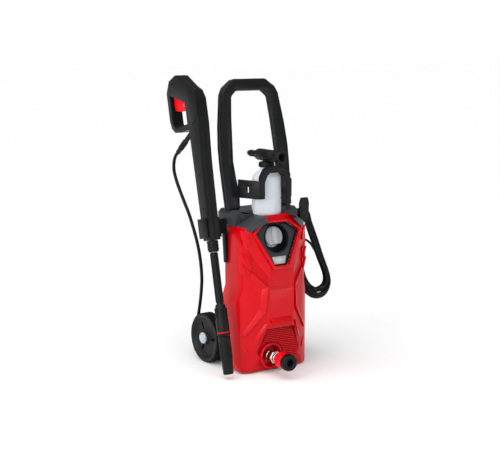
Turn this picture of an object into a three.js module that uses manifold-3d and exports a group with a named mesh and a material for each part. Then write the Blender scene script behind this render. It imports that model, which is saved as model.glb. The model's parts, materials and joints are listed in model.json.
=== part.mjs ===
// Upright electric pressure washer with trigger gun, foam bottle, hose and mains lead.
// Millimetres, +Z up, front of the machine towards -Y, +X to the right of someone facing it.

import * as THREE from 'three';
import { mergeVertices } from 'three/addons/utils/BufferGeometryUtils.js';
import Module from 'manifold-3d';

const wasm = await Module();
wasm.setup();

// ---- driving dimensions ----
const GAP = 0.3;                // clearance between touching pieces
const WALL = 3;                 // moulded wall thickness
const FLOOR_GAP = 4;            // underside of the housing above the ground
const ROOF_Z = 437;             // flat top of the housing
const HANDLE_BASE_Z = 450.3;
const HANDLE_TOP = 360;         // height of the hoop along its own lean
const HANDLE_LEAN = 9.3;        // degrees, backwards
const HANDLE_DEPTH = 26;
const PANEL_LEAN = 13.8;        // degrees, backwards
const PANEL_FOOT = [0, -120, 298];
const WELL_V = 79;              // centre of the knob's well, measured up the panel
const KNOB_V = 85;              // the knob's axis, above the middle of its well
const WELL_R = 37.5;
const KNOB_R = 26.5;
const INLET_X = -28;
const INLET_Z = 48;
const INLET_RECESS_R = 34;
const OUTLET_X = 30;            // the high-pressure outlet, at the inlet's height
const WHEEL_R = 71;
const WHEEL_Y = 80;
const WHEEL_IN = 95;            // inner and outer faces of a wheel
const WHEEL_OUT = 130;
const AXLE_R = 6;
const GUN_X = -160;
const GUN_FOOT_Y = -101;        // where the lance's centre line meets the ground
const GUN_LEAN = 12.53;         // degrees, backwards
const BOTTLE_Y = -47;
const BOTTLE_HALF = [44, 34];   // half width and half depth of the oval bottle
const FOAM_AXIS_Z = 598;
const MOTOR_Y = -18;
const MOTOR_R = 46;
const PISTON_COUNT = 3;
const PISTON_PITCH_R = 20;
const HOSE_D = 9.5;
const LEAD_D = 7;
const COIL_AT = [8, 192];      // centre of the hose coil on the ground
const COIL_MEAN_R = 55;
const PLUG_Y = 48;

// ---- finishes ----
const finish = (color, roughness, metalness = 0) =>
  new THREE.MeshStandardMaterial({ color, roughness, metalness });
const RED = finish(0xd8101e, 0.35);
const BRIGHT_RED = finish(0xf20014, 0.4);
const BLACK = finish(0x1f2022, 0.55);
const GREY = finish(0x45484c, 0.6);
const SILVER = finish(0x9a9ea3, 0.5);
const SMOKE = finish(0xb5b8bb, 0.2);
const MILK = finish(0xe4e9f0, 0.4);
const RUBBER = finish(0x151515, 0.8);
const STEEL = finish(0xc4c7ca, 0.3, 1);
const BRASS = finish(0xb08d4a, 0.35, 1);
const ALLOY = finish(0xa8abae, 0.5, 1);
const COPPER = finish(0x8f8f92, 0.5, 1);

// ---- solids ----
const UP = new THREE.Vector3(0, 1, 0);
const rad = THREE.MathUtils.degToRad;

// A closed mesh as a manifold solid, turned outwards if its faces point in.
function solid(geometry) {
  const bare = geometry.clone();
  bare.deleteAttribute('normal');
  bare.deleteAttribute('uv');
  const merged = mergeVertices(bare, 1e-4);
  const at = merged.attributes.position.array;
  const index = merged.index.array;
  const corners = [];
  let volume = 0;
  const p = new THREE.Vector3();
  const q = new THREE.Vector3();
  const r = new THREE.Vector3();
  for (let i = 0; i < index.length; i += 3) {
    const [a, b, c] = [index[i], index[i + 1], index[i + 2]];
    if (a === b || b === c || c === a) continue;
    corners.push(a, b, c);
    p.fromArray(at, 3 * a);
    q.fromArray(at, 3 * b);
    r.fromArray(at, 3 * c);
    volume += p.dot(q.cross(r));
  }
  if (volume < 0) corners.reverse();
  const mesh = new wasm.Mesh({
    numProp: 3,
    vertProperties: new Float32Array(at),
    triVerts: new Uint32Array(corners),
  });
  return new wasm.Manifold(mesh);
}

const asSolid = (thing) => (thing.isBufferGeometry ? solid(thing) : thing);

function join(...things) {
  return things.map(asSolid).reduce((all, one) => all.add(one));
}

function cut(body, ...tools) {
  return tools.map(asSolid).reduce((left, tool) => left.subtract(tool), asSolid(body));
}

function meet(...things) {
  return things.map(asSolid).reduce((all, one) => all.intersect(one));
}

function geometryOf(thing) {
  const mesh = asSolid(thing).getMesh();
  const geometry = new THREE.BufferGeometry();
  const points = new Float32Array(mesh.vertProperties);
  geometry.setAttribute('position', new THREE.BufferAttribute(points, 3));
  geometry.setIndex(new THREE.BufferAttribute(new Uint32Array(mesh.triVerts), 1));
  geometry.computeVertexNormals();
  return geometry;
}

// Moves a solid or geometry by a matrix.
function moved(thing, matrix) {
  return geometryOf(thing).applyMatrix4(matrix);
}

const block = (x0, x1, y0, y1, z0, z1) =>
  new THREE.BoxGeometry(x1 - x0, y1 - y0, z1 - z0)
    .translate((x0 + x1) / 2, (y0 + y1) / 2, (z0 + z1) / 2);

function prism(points, length, right, up, along, start) {
  const outline = new THREE.Shape(points.map(([u, v]) => new THREE.Vector2(u, v)));
  const geometry = new THREE.ExtrudeGeometry(outline, { depth: length, bevelEnabled: false });
  geometry.applyMatrix4(new THREE.Matrix4().makeBasis(right, up, along));
  return geometry.translate(along.x * start, along.y * start, along.z * start);
}

const X = new THREE.Vector3(1, 0, 0);
const Y = new THREE.Vector3(0, 1, 0);
const Z = new THREE.Vector3(0, 0, 1);
const FORWARD = new THREE.Vector3(0, -1, 0);

// Prisms of an outline in the XY, YZ or XZ plane, between two heights on the third axis.
const prismZ = (points, z0, z1) => prism(points, z1 - z0, X, Y, Z, z0);
const prismX = (points, x0, x1) => prism(points, x1 - x0, Y, Z, X, x0);
const prismY = (points, y0, y1) =>
  prism(points, y1 - y0, X, Z, FORWARD, -y1);

// A profile of [radius, height] pairs turned about an axis that starts at a point.
function turned(profile, at, towards, sides = 22) {
  const outline = profile.map(([r, h]) => new THREE.Vector2(r, h));
  const geometry = new THREE.LatheGeometry(outline, sides);
  const turn = new THREE.Quaternion().setFromUnitVectors(UP, towards.clone().normalize());
  return geometry.applyQuaternion(turn).translate(...at);
}

// A plain rod between two points.
function rod(radius, from, to, sides = 16) {
  const a = new THREE.Vector3(...from);
  const along = new THREE.Vector3(...to).sub(a);
  const length = along.length();
  const profile = [[0, 0], [radius, 0], [radius, length], [0, length]];
  return turned(profile, from, along, sides);
}

// An outline symmetric about the middle, from its right half, listed upwards or forwards.
const mirrored = (half) => [...half, ...half.map(([u, v]) => [-u, v]).reverse()];

// A tube along hand-picked points.
function tube(points, diameter, steps, sides = 8) {
  const path = new THREE.CatmullRomCurve3(points.map((p) => new THREE.Vector3(...p)));
  const ring = [];
  for (let i = 0; i < sides; i += 1) {
    const a = (2 * Math.PI * i) / sides;
    ring.push(new THREE.Vector2(Math.cos(a), Math.sin(a)).multiplyScalar(diameter / 2));
  }
  const section = new THREE.Shape(ring);
  return new THREE.ExtrudeGeometry(section, { steps, bevelEnabled: false, extrudePath: path });
}

// ---- frames of the leaning groups ----
const leanBack = (degrees, at) =>
  new THREE.Matrix4().makeTranslation(...at)
    .multiply(new THREE.Matrix4().makeRotationX(-rad(degrees)));
const PANEL = leanBack(PANEL_LEAN, PANEL_FOOT);
const HANDLE = leanBack(HANDLE_LEAN, [0, -22, HANDLE_BASE_Z]);
const GUN = leanBack(GUN_LEAN, [GUN_X, GUN_FOOT_Y, 0]);

// ---- the machine ----
const machine = new THREE.Group();

function piece(name, thing, material) {
  const mesh = new THREE.Mesh(geometryOf(thing), material);
  mesh.name = name;
  machine.add(mesh);
}

// ---- housing ----
const FRONT_VIEW = [
  [108, 4], [118, 30], [118, 196], [104, 240], [104, 380], [99, 408], [44, ROOF_Z],
];
const SIDE_VIEW = [
  [-93, 4], [-97, 26], [-112, 50], [-122, 126], [-119, 152], [-120, 298], [-90, 420],
  [-84, ROOF_Z],
];
const PLAN = [[118, 30], [118, -60], [111, -81], [86, -95], [38, -122]];
const REAR_PLAN = [[56, 66], [88, 16], [88, -60]];
const SPLIT = [[-29, 4], [-29, 60], [-18, 99], [4, 167], [4, ROOF_Z + 1]];

// The red shell's full block, drawn in by an inset on every side.
function shellBlock(inset) {
  const side = SIDE_VIEW.map(([y, z]) => [y + inset, z === ROOF_Z ? z - inset : z]);
  return meet(
    prismZ(mirrored(PLAN.map(([x, y]) => [x - inset, y + inset])), FLOOR_GAP - inset, ROOF_Z),
    prismY(mirrored(FRONT_VIEW.map(([x, z]) => [x - inset, z - inset])), -140, 28),
    prismX([...side, [40, ROOF_Z - inset], [40, 4 - inset], [side[0][0], 4 - inset]], -130, 130),
  );
}

function rearBlock(inset) {
  return meet(
    prismZ(mirrored(REAR_PLAN.map(([x, y]) => [x - inset, y - inset])), 14, ROOF_Z - inset),
    prismY(mirrored(FRONT_VIEW.map(([x, z]) => [x - inset, z - inset])), -70, 70),
  );
}

const PANEL_HEXAGON = [[24, 3], [74, 96], [39, 122]];
const bezelCutter = prismY(mirrored(PANEL_HEXAGON), -30, 30).applyMatrix4(PANEL);
const WELL_HALF = BOTTLE_HALF.map((half) => half + 2);
const bottleWell = turned(
  [[0, 0], [WELL_HALF[0], 0], [WELL_HALF[0], 60], [0, 60]], [0, 0, 0], Z, 28,
).scale(1, WELL_HALF[1] / WELL_HALF[0], 1).translate(0, BOTTLE_Y, 424);

function frontHousing() {
  const shell = cut(shellBlock(0), shellBlock(WALL));
  const front = [...SPLIT.map(([y, z]) => [y - GAP, z]), [-140, ROOF_Z + 1], [-140, FLOOR_GAP]];
  const recess = rod(INLET_RECESS_R, [INLET_X, -140, INLET_Z], [INLET_X, -70, INLET_Z], 24);
  const opened = cut(meet(shell, prismX(front, -130, 130)), bezelCutter, bottleWell, recess);
  const cupWall = cut(
    rod(INLET_RECESS_R + WALL, [INLET_X, -106, INLET_Z], [INLET_X, -84, INLET_Z], 24),
    rod(INLET_RECESS_R, [INLET_X, -140, INLET_Z], [INLET_X, -87, INLET_Z], 24),
    rod(14, [INLET_X, -90, INLET_Z], [INLET_X, -80, INLET_Z], 24),
  );
  return join(opened, meet(cupWall, shellBlock(0.2)));
}

function rearHousing() {
  const back = [...SPLIT, [80, ROOF_Z + 1], [80, FLOOR_GAP]];
  let shell = meet(cut(rearBlock(0), rearBlock(WALL)), prismX(back, -100, 100));
  for (let row = 0; row < 7; row += 1) {
    const z = 228 + 16 * row;
    shell = cut(shell, block(-38, 38, 60, 70, z, z + 7));
  }
  return cut(
    shell,
    bottleWell,
    rod(11, [OUTLET_X, 50, INLET_Z], [OUTLET_X, 70, INLET_Z]),
    rod(6.8, [44, 50, 330], [44, 70, 330]),
    block(-90, 90, 5, 70, 10, 24),
  );
}

function baseTray() {
  const floor = prismZ(
    mirrored([[80, 60], [84, 14], [84, -32], [102, -34], [100, -60], [78, -82]]), 6, 11,
  );
  const cheek = [[30, 12], [96, 12], [96, 84], [84, 92], [70, 92]];
  const arm = (side) => join(
    block(side < 0 ? -84 : 58, side < 0 ? -58 : 84, 8, 96, 6, 13),
    prismX(cheek, side < 0 ? -84 : 72, side < 0 ? -72 : 84),
  );
  const bore = rod(AXLE_R + 0.35, [-90, WHEEL_Y, WHEEL_R], [90, WHEEL_Y, WHEEL_R]);
  const arms = join(arm(-1), arm(1), block(-84, 84, 84, 96, 6, 30));
  return cut(join(floor, arms), bore, rearWallClear());
}

// The rear shell's room, so that the tray's arms stand just outside it.
function rearWallClear() {
  const outside = mirrored([[56, 66.4], [88.4, 16], [88.4, -60]]);
  const inside = mirrored([[50, 60], [80, 14], [80, -60]]);
  return cut(prismZ(outside, 13.6, 200), prismZ(inside, 13, 14.2));
}

function topCap() {
  const saddle = prismY([
    [-103, 406.9], [-44, ROOF_Z + 0.4], [44, ROOF_Z + 0.4], [103, 406.9],
    [107, 410], [107, 440], [97, 450], [-97, 450], [-107, 440], [-107, 410],
  ], -46, 34);
  const tab = (x) => prismY([[x - 24, 440], [x + 24, 440], [x, 412]], -52, -46);
  const roof = join(shellBlock(-0.35), rearBlock(-0.35));
  return cut(join(saddle, tab(-70), tab(70)), bottleWell, roof, hookRoot(0.4));
}

// ---- handle ----
const HOOP_OUT = [
  [106, -20], [108, 32], [112, 120], [112, 172], [107, 232], [94, 319], [84, 338],
  [54, HANDLE_TOP],
];
const HOOP_IN = [
  [45, 328], [64, 311], [70, 253], [75, 172], [77, 132], [72, 84], [66, 40], [70, -20],
];

// The right half runs up the outside; its mirror image comes down the left and back inside.
function handleShell(y0, y1) {
  const up = ([x0, h0], [x1, h1]) => h0 - h1 || x0 - x1;
  const outside = [...HOOP_OUT].sort(up);
  const inside = [...HOOP_IN].sort(up);
  const hoop = cut(
    prismY(mirrored(outside), y0, y1),
    prismY(mirrored(inside), y0 - 5, y1 + 5),
  );
  const below = block(-200, 200, -100, 100, 300, HANDLE_BASE_Z);
  return cut(moved(hoop, HANDLE), below);
}

// ---- bottle cradle on the handle ----
function bottleBracket() {
  const outside = prismZ(mirrored([[79, -23], [79, -30], [58, -86], [52, -92]]), 484, 534);
  const inside = prismZ(mirrored([[73, -20], [73, -32], [53, -84]]), 480, 540);
  const slot = block(-80, -50, -60, -52, 500, 516);
  const arms = cut(outside, inside, slot);
  const arch = prismY([
    [-52, 484], [-52, 545], [-40, 566], [-26, 572], [26, 572], [38, 566], [49, 548], [49, 451],
    [38, 451], [38, 484],
  ], -92, -84.2);
  const window = prismY([
    [-36, 440], [-36, 528], [-27, 548], [-18, 554], [20, 554], [31, 546], [38, 528], [38, 440],
  ], -100, -80);
  const handleFront = block(-120, 120, 0, 40, -20, 380).translate(0, -0.3, 0).applyMatrix4(HANDLE);
  return cut(join(arms, arch), window, handleFront);
}

// ---- control panel ----
function controlPanel() {
  const plate = prismY(mirrored([[22.4, 3.8], [73, 96], [38.4, 121.2]]), 8, 11);
  const windowHole = prismY(mirrored([[15.4, 9.6], [20.4, 28.4]]), 0, 20);
  const wellHole = rod(WELL_R + 0.3, [0, 0, WELL_V], [0, 20, WELL_V], 28);
  return moved(cut(plate, windowHole, wellHole), PANEL);
}

function dialCup() {
  const cup = cut(
    rod(WELL_R, [0, 5, WELL_V], [0, 36, WELL_V], 28),
    rod(WELL_R - 2, [0, 0, WELL_V], [0, 34, WELL_V], 28),
    rod(5, [0, 30, KNOB_V], [0, 40, KNOB_V]),
  );
  return moved(cup, PANEL);
}

function switchKnob() {
  const base = rod(KNOB_R, [0, 15, KNOB_V], [0, 32.5, KNOB_V], 28);
  const grip = meet(
    block(-5, 5, 7, 16, KNOB_V - 25, KNOB_V + 25),
    rod(KNOB_R, [0, 0, KNOB_V], [0, 32, KNOB_V], 28),
  );
  const stem = rod(3.5, [0, 32, KNOB_V], [0, 46, KNOB_V], 16);
  return moved(join(base, grip, stem), PANEL);
}

const indicatorWindow = () =>
  moved(prismY(mirrored([[15, 10], [20, 28]]), 7, 10), PANEL);

const rotarySwitch = () => moved(cut(
  block(-16, 16, 36.5, 60, KNOB_V - 16, KNOB_V + 16),
  rod(4, [0, 30, KNOB_V], [0, 50, KNOB_V], 16),
), PANEL);

// ---- motor and pump, standing on the axis x = 0, y = MOTOR_Y ----
const AXIS = (z) => [0, MOTOR_Y, z];
const column = (radius, z0, z1, sides = 22) => rod(radius, AXIS(z0), AXIS(z1), sides);

function motorCan() {
  return cut(
    column(MOTOR_R, 176, 300, 24),
    column(MOTOR_R - 2.5, 179, 297, 24),
    column(9, 170, 310),
    column(12, 297, 306),
  );
}

const rotor = () =>
  join(column(4, 126, 334, 20), column(28, 196, 262, 28), column(12, 268, 284, 24));

const bearing = (z) => cut(column(8.6, z, z + 7), column(4.35, z - 1, z + 8));

function coolingFan() {
  let fan = join(column(10, 306, 330), column(42, 306, 309, 24));
  for (let i = 0; i < 8; i += 1) {
    const blade = block(8, 41, -1.2, 1.2, 308, 326)
      .rotateZ(rad(45 * i)).translate(0, MOTOR_Y, 0);
    fan = join(fan, blade);
  }
  return cut(fan, column(4.35, 300, 340));
}

// A wedge whose lower face leans, so that the pistons rise and fall once a turn.
function swashPlate() {
  const wedge = prismX([[-30, 127], [30, 133], [30, 150], [-30, 150]], -30, 30)
    .translate(0, MOTOR_Y, 0);
  return cut(meet(column(28, 120, 160, 24), wedge), column(4.35, 110, 170));
}

function pumpBody() {
  const cup = cut(column(38, 92, 168, 24), column(32, 96, 170, 24));
  let body = join(column(34, 62, 92, 22), cup);
  for (const [x, y] of pistonPlaces()) {
    body = cut(body, rod(6.5, [x, y, 50], [x, y, 100]));
  }
  const shaftSeat = column(6, 92, 99);
  return cut(body, shaftSeat);
}

function pistonPlaces() {
  const places = [];
  for (let i = 0; i < PISTON_COUNT; i += 1) {
    const a = rad(90 + (360 * i) / PISTON_COUNT);
    places.push([PISTON_PITCH_R * Math.cos(a), MOTOR_Y + PISTON_PITCH_R * Math.sin(a)]);
  }
  return places;
}

const piston = ([x, y]) => join(
  rod(6.1, [x, y, 66], [x, y, 118], 20),
  rod(8.5, [x, y, 118], [x, y, 122], 20),
);

function pumpHead() {
  const head = cut(
    join(
      column(34, 30, 61.7, 22),
      block(INLET_X - 15, INLET_X + 15, -62, MOTOR_Y, 34, 61),
      block(OUTLET_X - 14, OUTLET_X + 14, MOTOR_Y, 34, 34, 61.7),
    ),
    rod(8.3, [INLET_X, -70, INLET_Z], [INLET_X, -44, INLET_Z]),
    rod(8.3, [OUTLET_X, 14, INLET_Z], [OUTLET_X, 40, INLET_Z]),
  );
  return head;
}

const waterInlet = () => cut(
  join(
    rod(8, [INLET_X, -83, INLET_Z], [INLET_X, -46, INLET_Z]),
    rod(13, [INLET_X, -96, INLET_Z], [INLET_X, -80, INLET_Z]),
    rod(15, [INLET_X, -158, INLET_Z], [INLET_X, -94, INLET_Z]),
    rod(18.5, [INLET_X, -134, INLET_Z], [INLET_X, -118, INLET_Z], 6),
  ),
  rod(5, [INLET_X, -170, INLET_Z], [INLET_X, -40, INLET_Z]),
);

function inletCollar() {
  return cut(
    turned(
      [[0, 0], [22, 0], [22, 22], [20, 26], [0, 26]], [INLET_X, -158.3, INLET_Z], FORWARD, 24,
    ),
    rod(8, [INLET_X, -190, INLET_Z], [INLET_X, -150, INLET_Z]),
  );
}

function hoseConnector() {
  const profile = [[0, 0], [23.5, 0], [23.5, 16], [21, 20], [0, 20]];
  return cut(
    turned(profile, [INLET_X, -184.6, INLET_Z], FORWARD, 24),
    rod(10, [INLET_X, -210, INLET_Z], [INLET_X, -187.6, INLET_Z], 24),
    rod(5, [INLET_X, -190, INLET_Z], [INLET_X, -180, INLET_Z], 12),
  );
}

// Runs straight back from the pump head and out of the rear wall.
const outletFitting = () => cut(
  join(
    rod(8, [OUTLET_X, 15, INLET_Z], [OUTLET_X, 48, INLET_Z]),
    rod(10, [OUTLET_X, 46, INLET_Z], [OUTLET_X, 62, INLET_Z], 6),
    rod(9, [OUTLET_X, 60, INLET_Z], [OUTLET_X, 80, INLET_Z]),
  ),
  rod(3, [OUTLET_X, 10, INLET_Z], [OUTLET_X, 90, INLET_Z]),
);

// ---- wheels ----
function wheel(side) {
  const width = WHEEL_OUT - WHEEL_IN;
  const profile = [
    [6.4, 0], [17, 0], [19, 14], [55, 14], [57, 0], [67, 0], [WHEEL_R, 5],
    [WHEEL_R, width - 5], [67, width], [58, width], [52, width - 9], [20, width - 9],
    [17, width - 2], [6.4, width - 2], [6.4, 0],
  ];
  const outwards = new THREE.Vector3(side, 0, 0);
  let disc = asSolid(turned(profile, [side * WHEEL_IN, WHEEL_Y, WHEEL_R], outwards, 36));
  for (let i = 0; i < 3; i += 1) {
    const slot = block(-200, 200, 26, 46, -3.5, 3.5)
      .rotateX(rad(180 + 120 * i)).translate(0, WHEEL_Y, WHEEL_R);
    disc = cut(disc, slot);
  }
  return disc;
}

const hubCap = (side) => cut(
  turned(
    [[0, 0], [16, 0], [16, 4], [13, 7.5], [0, 9]],
    [side * (WHEEL_OUT - 1.7), WHEEL_Y, WHEEL_R], new THREE.Vector3(side, 0, 0), 32,
  ),
  rod(
    AXLE_R + 0.3, [side * 120, WHEEL_Y, WHEEL_R], [side * (WHEEL_OUT + 3), WHEEL_Y, WHEEL_R],
  ),
);

const axle = () => rod(AXLE_R, [-132, WHEEL_Y, WHEEL_R], [132, WHEEL_Y, WHEEL_R]);

const frontFoot = () => block(-86, 86, -78, -58, 0, 5.7);

// ---- gun holder and cord hook ----
const BEAM_X = 140;             // middle of the hook's beam

function gunHolder() {
  const cradle = join(
    block(-24, -19, -14, 26, 388, 442),
    block(19, 24, -14, 26, 388, 442),
    block(-24, 24, 20.6, 26, 388, 442),
    block(23, 50, 4, 14, 396, 436),
  );
  const web = prismY([
    [-109, 302], [-104.4, 302], [-104.4, 379], [-108, 408], [-112, 420], [-114, 420],
    [-114, 380],
  ], -10, 3.6);
  const link = block(-114, -107.6, -10, 12, 398, 424);
  return cut(join(moved(cradle, GUN), web, link), shellBlock(-0.35), topCapRoom());
}

const topCapRoom = () => block(-107.4, 107.4, -60, 40, 404, 452);

function hookRoot(grow) {
  return block(104.4 - grow, 112 + grow, -30 - grow, 4 + grow, 330, 400 + grow);
}

// Points on a half circle over the hook's beam, from the right to the left.
function overBeam(radius, height, steps) {
  const points = [];
  for (let i = 0; i <= steps; i += 1) {
    const a = (Math.PI * i) / steps;
    points.push([BEAM_X + radius * Math.cos(a), height + radius * Math.sin(a)]);
  }
  return points;
}

const hookBeam = () =>
  prismY([...overBeam(15, 408, 12), [BEAM_X - 15, 400], [BEAM_X + 15, 400]], -31, 3);

function cordHook() {
  const stem = prismY([
    [104.4, 330], [110, 330], [150, 396], [155, 408], [125, 408], [108.4, 400], [104.4, 380],
  ], -1.5, 4);
  const finger = prismY(
    [[126, 402], [155, 402], [157, 452], [152, 468], [130, 468], [124, 452]], -36, -30.6,
  );
  const foot = block(104.4, 109, -24, 4, 330, 372);
  return cut(join(stem, finger, hookBeam(), foot), shellBlock(-0.35), topCapRoom());
}

// ---- foam bottle and head ----
function foamBottle() {
  const [a, b] = BOTTLE_HALF;
  const flat = b / a;
  const outer = [
    [0, 425], [38, 425], [a, 431], [a, 532], [38, 548], [22, 560], [18, 563], [18, 575],
    [0, 575],
  ];
  const inner = [
    [0, 427], [37, 427], [a - 2, 432], [a - 2, 531], [36.6, 546], [21, 558], [15.5, 563],
    [15.5, 580], [0, 580],
  ];
  const form = (profile) => turned(profile, [0, 0, 0], Z, 24)
    .scale(1, flat, 1).translate(0, BOTTLE_Y, 0);
  const neck = rod(18, [0, BOTTLE_Y, 558], [0, BOTTLE_Y, 575], 22);
  const mouth = rod(15.5, [0, BOTTLE_Y, 556], [0, BOTTLE_Y, 580], 22);
  return cut(join(form(outer), neck), form(inner), mouth);
}

function foamHead() {
  const cap = cut(
    turned(
      [[0, 566], [21.5, 566], [21.5, 579], [11, 582], [11, 590], [0, 590]],
      [0, BOTTLE_Y, 0], Z, 22,
    ),
    rod(18.4, [0, BOTTLE_Y, 560], [0, BOTTLE_Y, 575.4], 22),
  );
  const barrel = turned(
    [[0, 0], [14, 0], [14, 10], [16.5, 14], [16.5, 86], [12, 92], [12, 98], [0, 98]],
    [0, -98, FOAM_AXIS_Z], Y, 32,
  );
  const nipple = turned(
    [
      [0, 0], [7, 0], [7, 8], [9.5, 10], [9.5, 15], [7, 17], [7, 24], [9.5, 26], [9.5, 31],
      [7, 33], [7, 40], [0, 40],
    ],
    [0, -0.5, FOAM_AXIS_Z], Y, 28,
  );
  const throat = rod(3.5, [0, -110, FOAM_AXIS_Z], [0, 50, FOAM_AXIS_Z], 10);
  const dip = rod(3.5, [0, BOTTLE_Y, 560], [0, BOTTLE_Y, 600], 10);
  return cut(join(cap, barrel, nipple), throat, dip);
}

const suctionTube = () => cut(
  rod(3, [0, BOTTLE_Y, 432], [0, BOTTLE_Y, 592], 12),
  rod(1.6, [0, BOTTLE_Y, 420], [0, BOTTLE_Y, 600], 12),
);

const foamNozzle = () => cut(
  turned(
    [[0, 0], [17.5, 0], [17.5, 20], [15.5, 24], [0, 24]], [0, -97.5, FOAM_AXIS_Z], FORWARD, 22,
  ),
  rod(14.4, [0, -98, FOAM_AXIS_Z], [0, -88, FOAM_AXIS_Z], 22),
  turned(
    [[0, 0], [5, 0], [12, 17], [12, 30], [0, 30]], [0, -105, FOAM_AXIS_Z], FORWARD, 28,
  ),
  rod(5, [0, -110, FOAM_AXIS_Z], [0, -90, FOAM_AXIS_Z], 16),
);

// ---- trigger gun, in its own leaning frame: x across, y back, z up the barrel ----
const GUN_SIDE = [
  [-17, 381], [17, 381], [18, 440], [22, 600], [23, 690], [62, 688], [98, 692], [114, 706],
  [120, 728], [120, 806], [100, 838], [62, 848], [50, 845], [4, 806], [-18, 792], [-30, 768],
  [-31, 700], [-22, 600], [-17, 440],
];
const FINGER_GAP = [[28, 706], [90, 704], [103, 716], [104, 797], [28, 766]];
const TRIGGER_ROOM = [[27, 750], [104.4, 750], [104.4, 806], [80, 826], [27, 792]];
const STUB_FROM = [0, 15, 694];
const STUB_TO = [0, 125, 640];

function gunShell(side) {
  const [x0, x1] = side < 0 ? [-17, -GAP / 2] : [GAP / 2, 17];
  const hollow = prismX([
    [-11, 390], [11, 390], [15, 600], [16, 700], [14, 780], [-8, 780], [-22, 760], [-23, 705],
    [-15, 600], [-11, 440],
  ], -12, 12);
  return moved(cut(
    prismX(GUN_SIDE, x0, x1),
    prismX(FINGER_GAP, -30, 30),
    prismX(TRIGGER_ROOM, -8.6, 8.6),
    hollow,
    rod(9.5, [0, 0, 370], [0, 0, 400]),
    rod(7.4, STUB_FROM, STUB_TO),
    rod(2.9, [-30, 36, 759], [30, 36, 759], 16),
    block(-6, 6, 10, 40, 629, 649),
  ), GUN);
}

const gunValve = () => moved(cut(
  join(
    rod(9, [0, 0, 372], [0, 0, 420]),
    rod(6, [0, 0, 418], [0, 0, 662], 20),
    block(-9, 9, -10, 8.5, 660, 700),
  ),
  rod(3, [0, 0, 360], [0, 0, 640], 12),
), GUN);

const hoseSwivel = () => moved(join(
  rod(6.9, STUB_FROM, STUB_TO, 24),
  rod(8.4, [0, 75, 664.5], [0, 108, 648.3], 24),
), GUN);

const trigger = () => moved(cut(
  prismX([
    [31, 764], [33, 752], [52, 747], [76, 748], [98, 753], [101, 770], [100, 794], [60, 778],
  ], -7, 7),
  rod(2.9, [-10, 36, 759], [10, 36, 759], 16),
), GUN);

const triggerPin = () => moved(rod(2.5, [-15.5, 36, 759], [15.5, 36, 759], 16), GUN);

const gunButton = () => moved(block(-5.2, 5.2, 16, 29, 630, 648), GUN);

const lanceCollar = () => moved(cut(
  turned([[0, 0], [14, 0], [16, 6], [16, 28], [14, 31.5], [0, 31.5]], [0, 0, 349], Z, 22),
  rod(9.4, [0, 0, 371.5], [0, 0, 390]),
  rod(9.3, [0, 0, 340], [0, 0, 364]),
), GUN);

function lanceTube() {
  let tubeBody = asSolid(rod(11, [0, 0, 206.3], [0, 0, 348.6], 22));
  for (let i = 0; i < 12; i += 1) {
    const flute = block(10, 14, -1.1, 1.1, 214, 342).rotateZ(rad(30 * i));
    tubeBody = cut(tubeBody, flute);
  }
  return moved(cut(
    join(tubeBody, rod(9, [0, 0, 348], [0, 0, 363.6])),
    rod(3, [0, 0, 200], [0, 0, 370], 12),
  ), GUN);
}

const nozzleBody = () => moved(cut(
  turned([[0, 0], [16, 0], [18, 6], [18, 44], [16, 52], [16.5, 58], [14, 84], [11.5, 88], [0, 88]],
    [0, 0, 118], Z, 24),
  rod(3, [0, 0, 110], [0, 0, 210], 12),
), GUN);

const nozzleSleeve = () => moved(cut(
  turned([[0, 0], [13.5, 0], [14.5, 4], [16.5, 92], [17, 103.5], [0, 103.5]], [0, 0, 14], Z, 24),
  rod(5, [0, 0, 0], [0, 0, 130], 16),
  turned([[0, 0], [11, 0], [5, 22], [0, 22]], [0, 0, 13], Z, 24),
), GUN);

// ---- hose and lead, laid where they hang and lie ----
const gunPoint = (x, y, z) => new THREE.Vector3(x, y, z).applyMatrix4(GUN);
const hoseExit = gunPoint(0, 125.3, 639.85).toArray();
const hoseStart = gunPoint(0, 140, 632.6).toArray();
const HOSE_RUN = [
  hoseExit, hoseStart,
[-159.5, 182, 573], [-158.5, 187, 555], [-156.5, 186, 534], [-153, 175, 504],
  [-148, 154, 464], [-142, 128, 416], [-134, 104, 348], [-127, 97, 292], [-120, 102, 236],
  [-113, 120, 180], [-108, 140, 128], [-104, 158, 84], [-97, 176, 46], [-90, 192, 24],
  [-80, 208, 10], [-68, 224, 4.8], [-52, 240, 4.8],
];
const COIL_HALF = 14.5;
const COIL_TOP = 38;
const HOSE_TAIL = [
  [83, 190, 4.8], [82, 174, 5], [77.5, 160, 8], [70, 147, 15.5], [60, 136, 25],
  [48.5, 125.5, 35.5], [38, 114, 44.2], [31.5, 104.5, 47.6], [OUTLET_X, 94.6, INLET_Z],
];

function hoseCoil() {
  const r0 = COIL_MEAN_R - COIL_HALF;
  const r1 = COIL_MEAN_R + COIL_HALF;
  return turned([[r0, 0.1], [r1, 0.1], [r1, COIL_TOP], [r0, COIL_TOP], [r0, 0.1]],
    [COIL_AT[0], COIL_AT[1], 0], Z, 24);
}

const hoseNut = () => cut(
  turned(
    [[0, 0], [14, 0], [14, 16], [9, 20], [9, 27.5], [0, 27.5]], [OUTLET_X, 66.6, INLET_Z], Y, 18,
  ),
  rod(9.4, [OUTLET_X, 60, INLET_Z], [OUTLET_X, 80.4, INLET_Z]),
  rod(5.2, [OUTLET_X, 70, INLET_Z], [OUTLET_X, 100, INLET_Z]),
);

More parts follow.
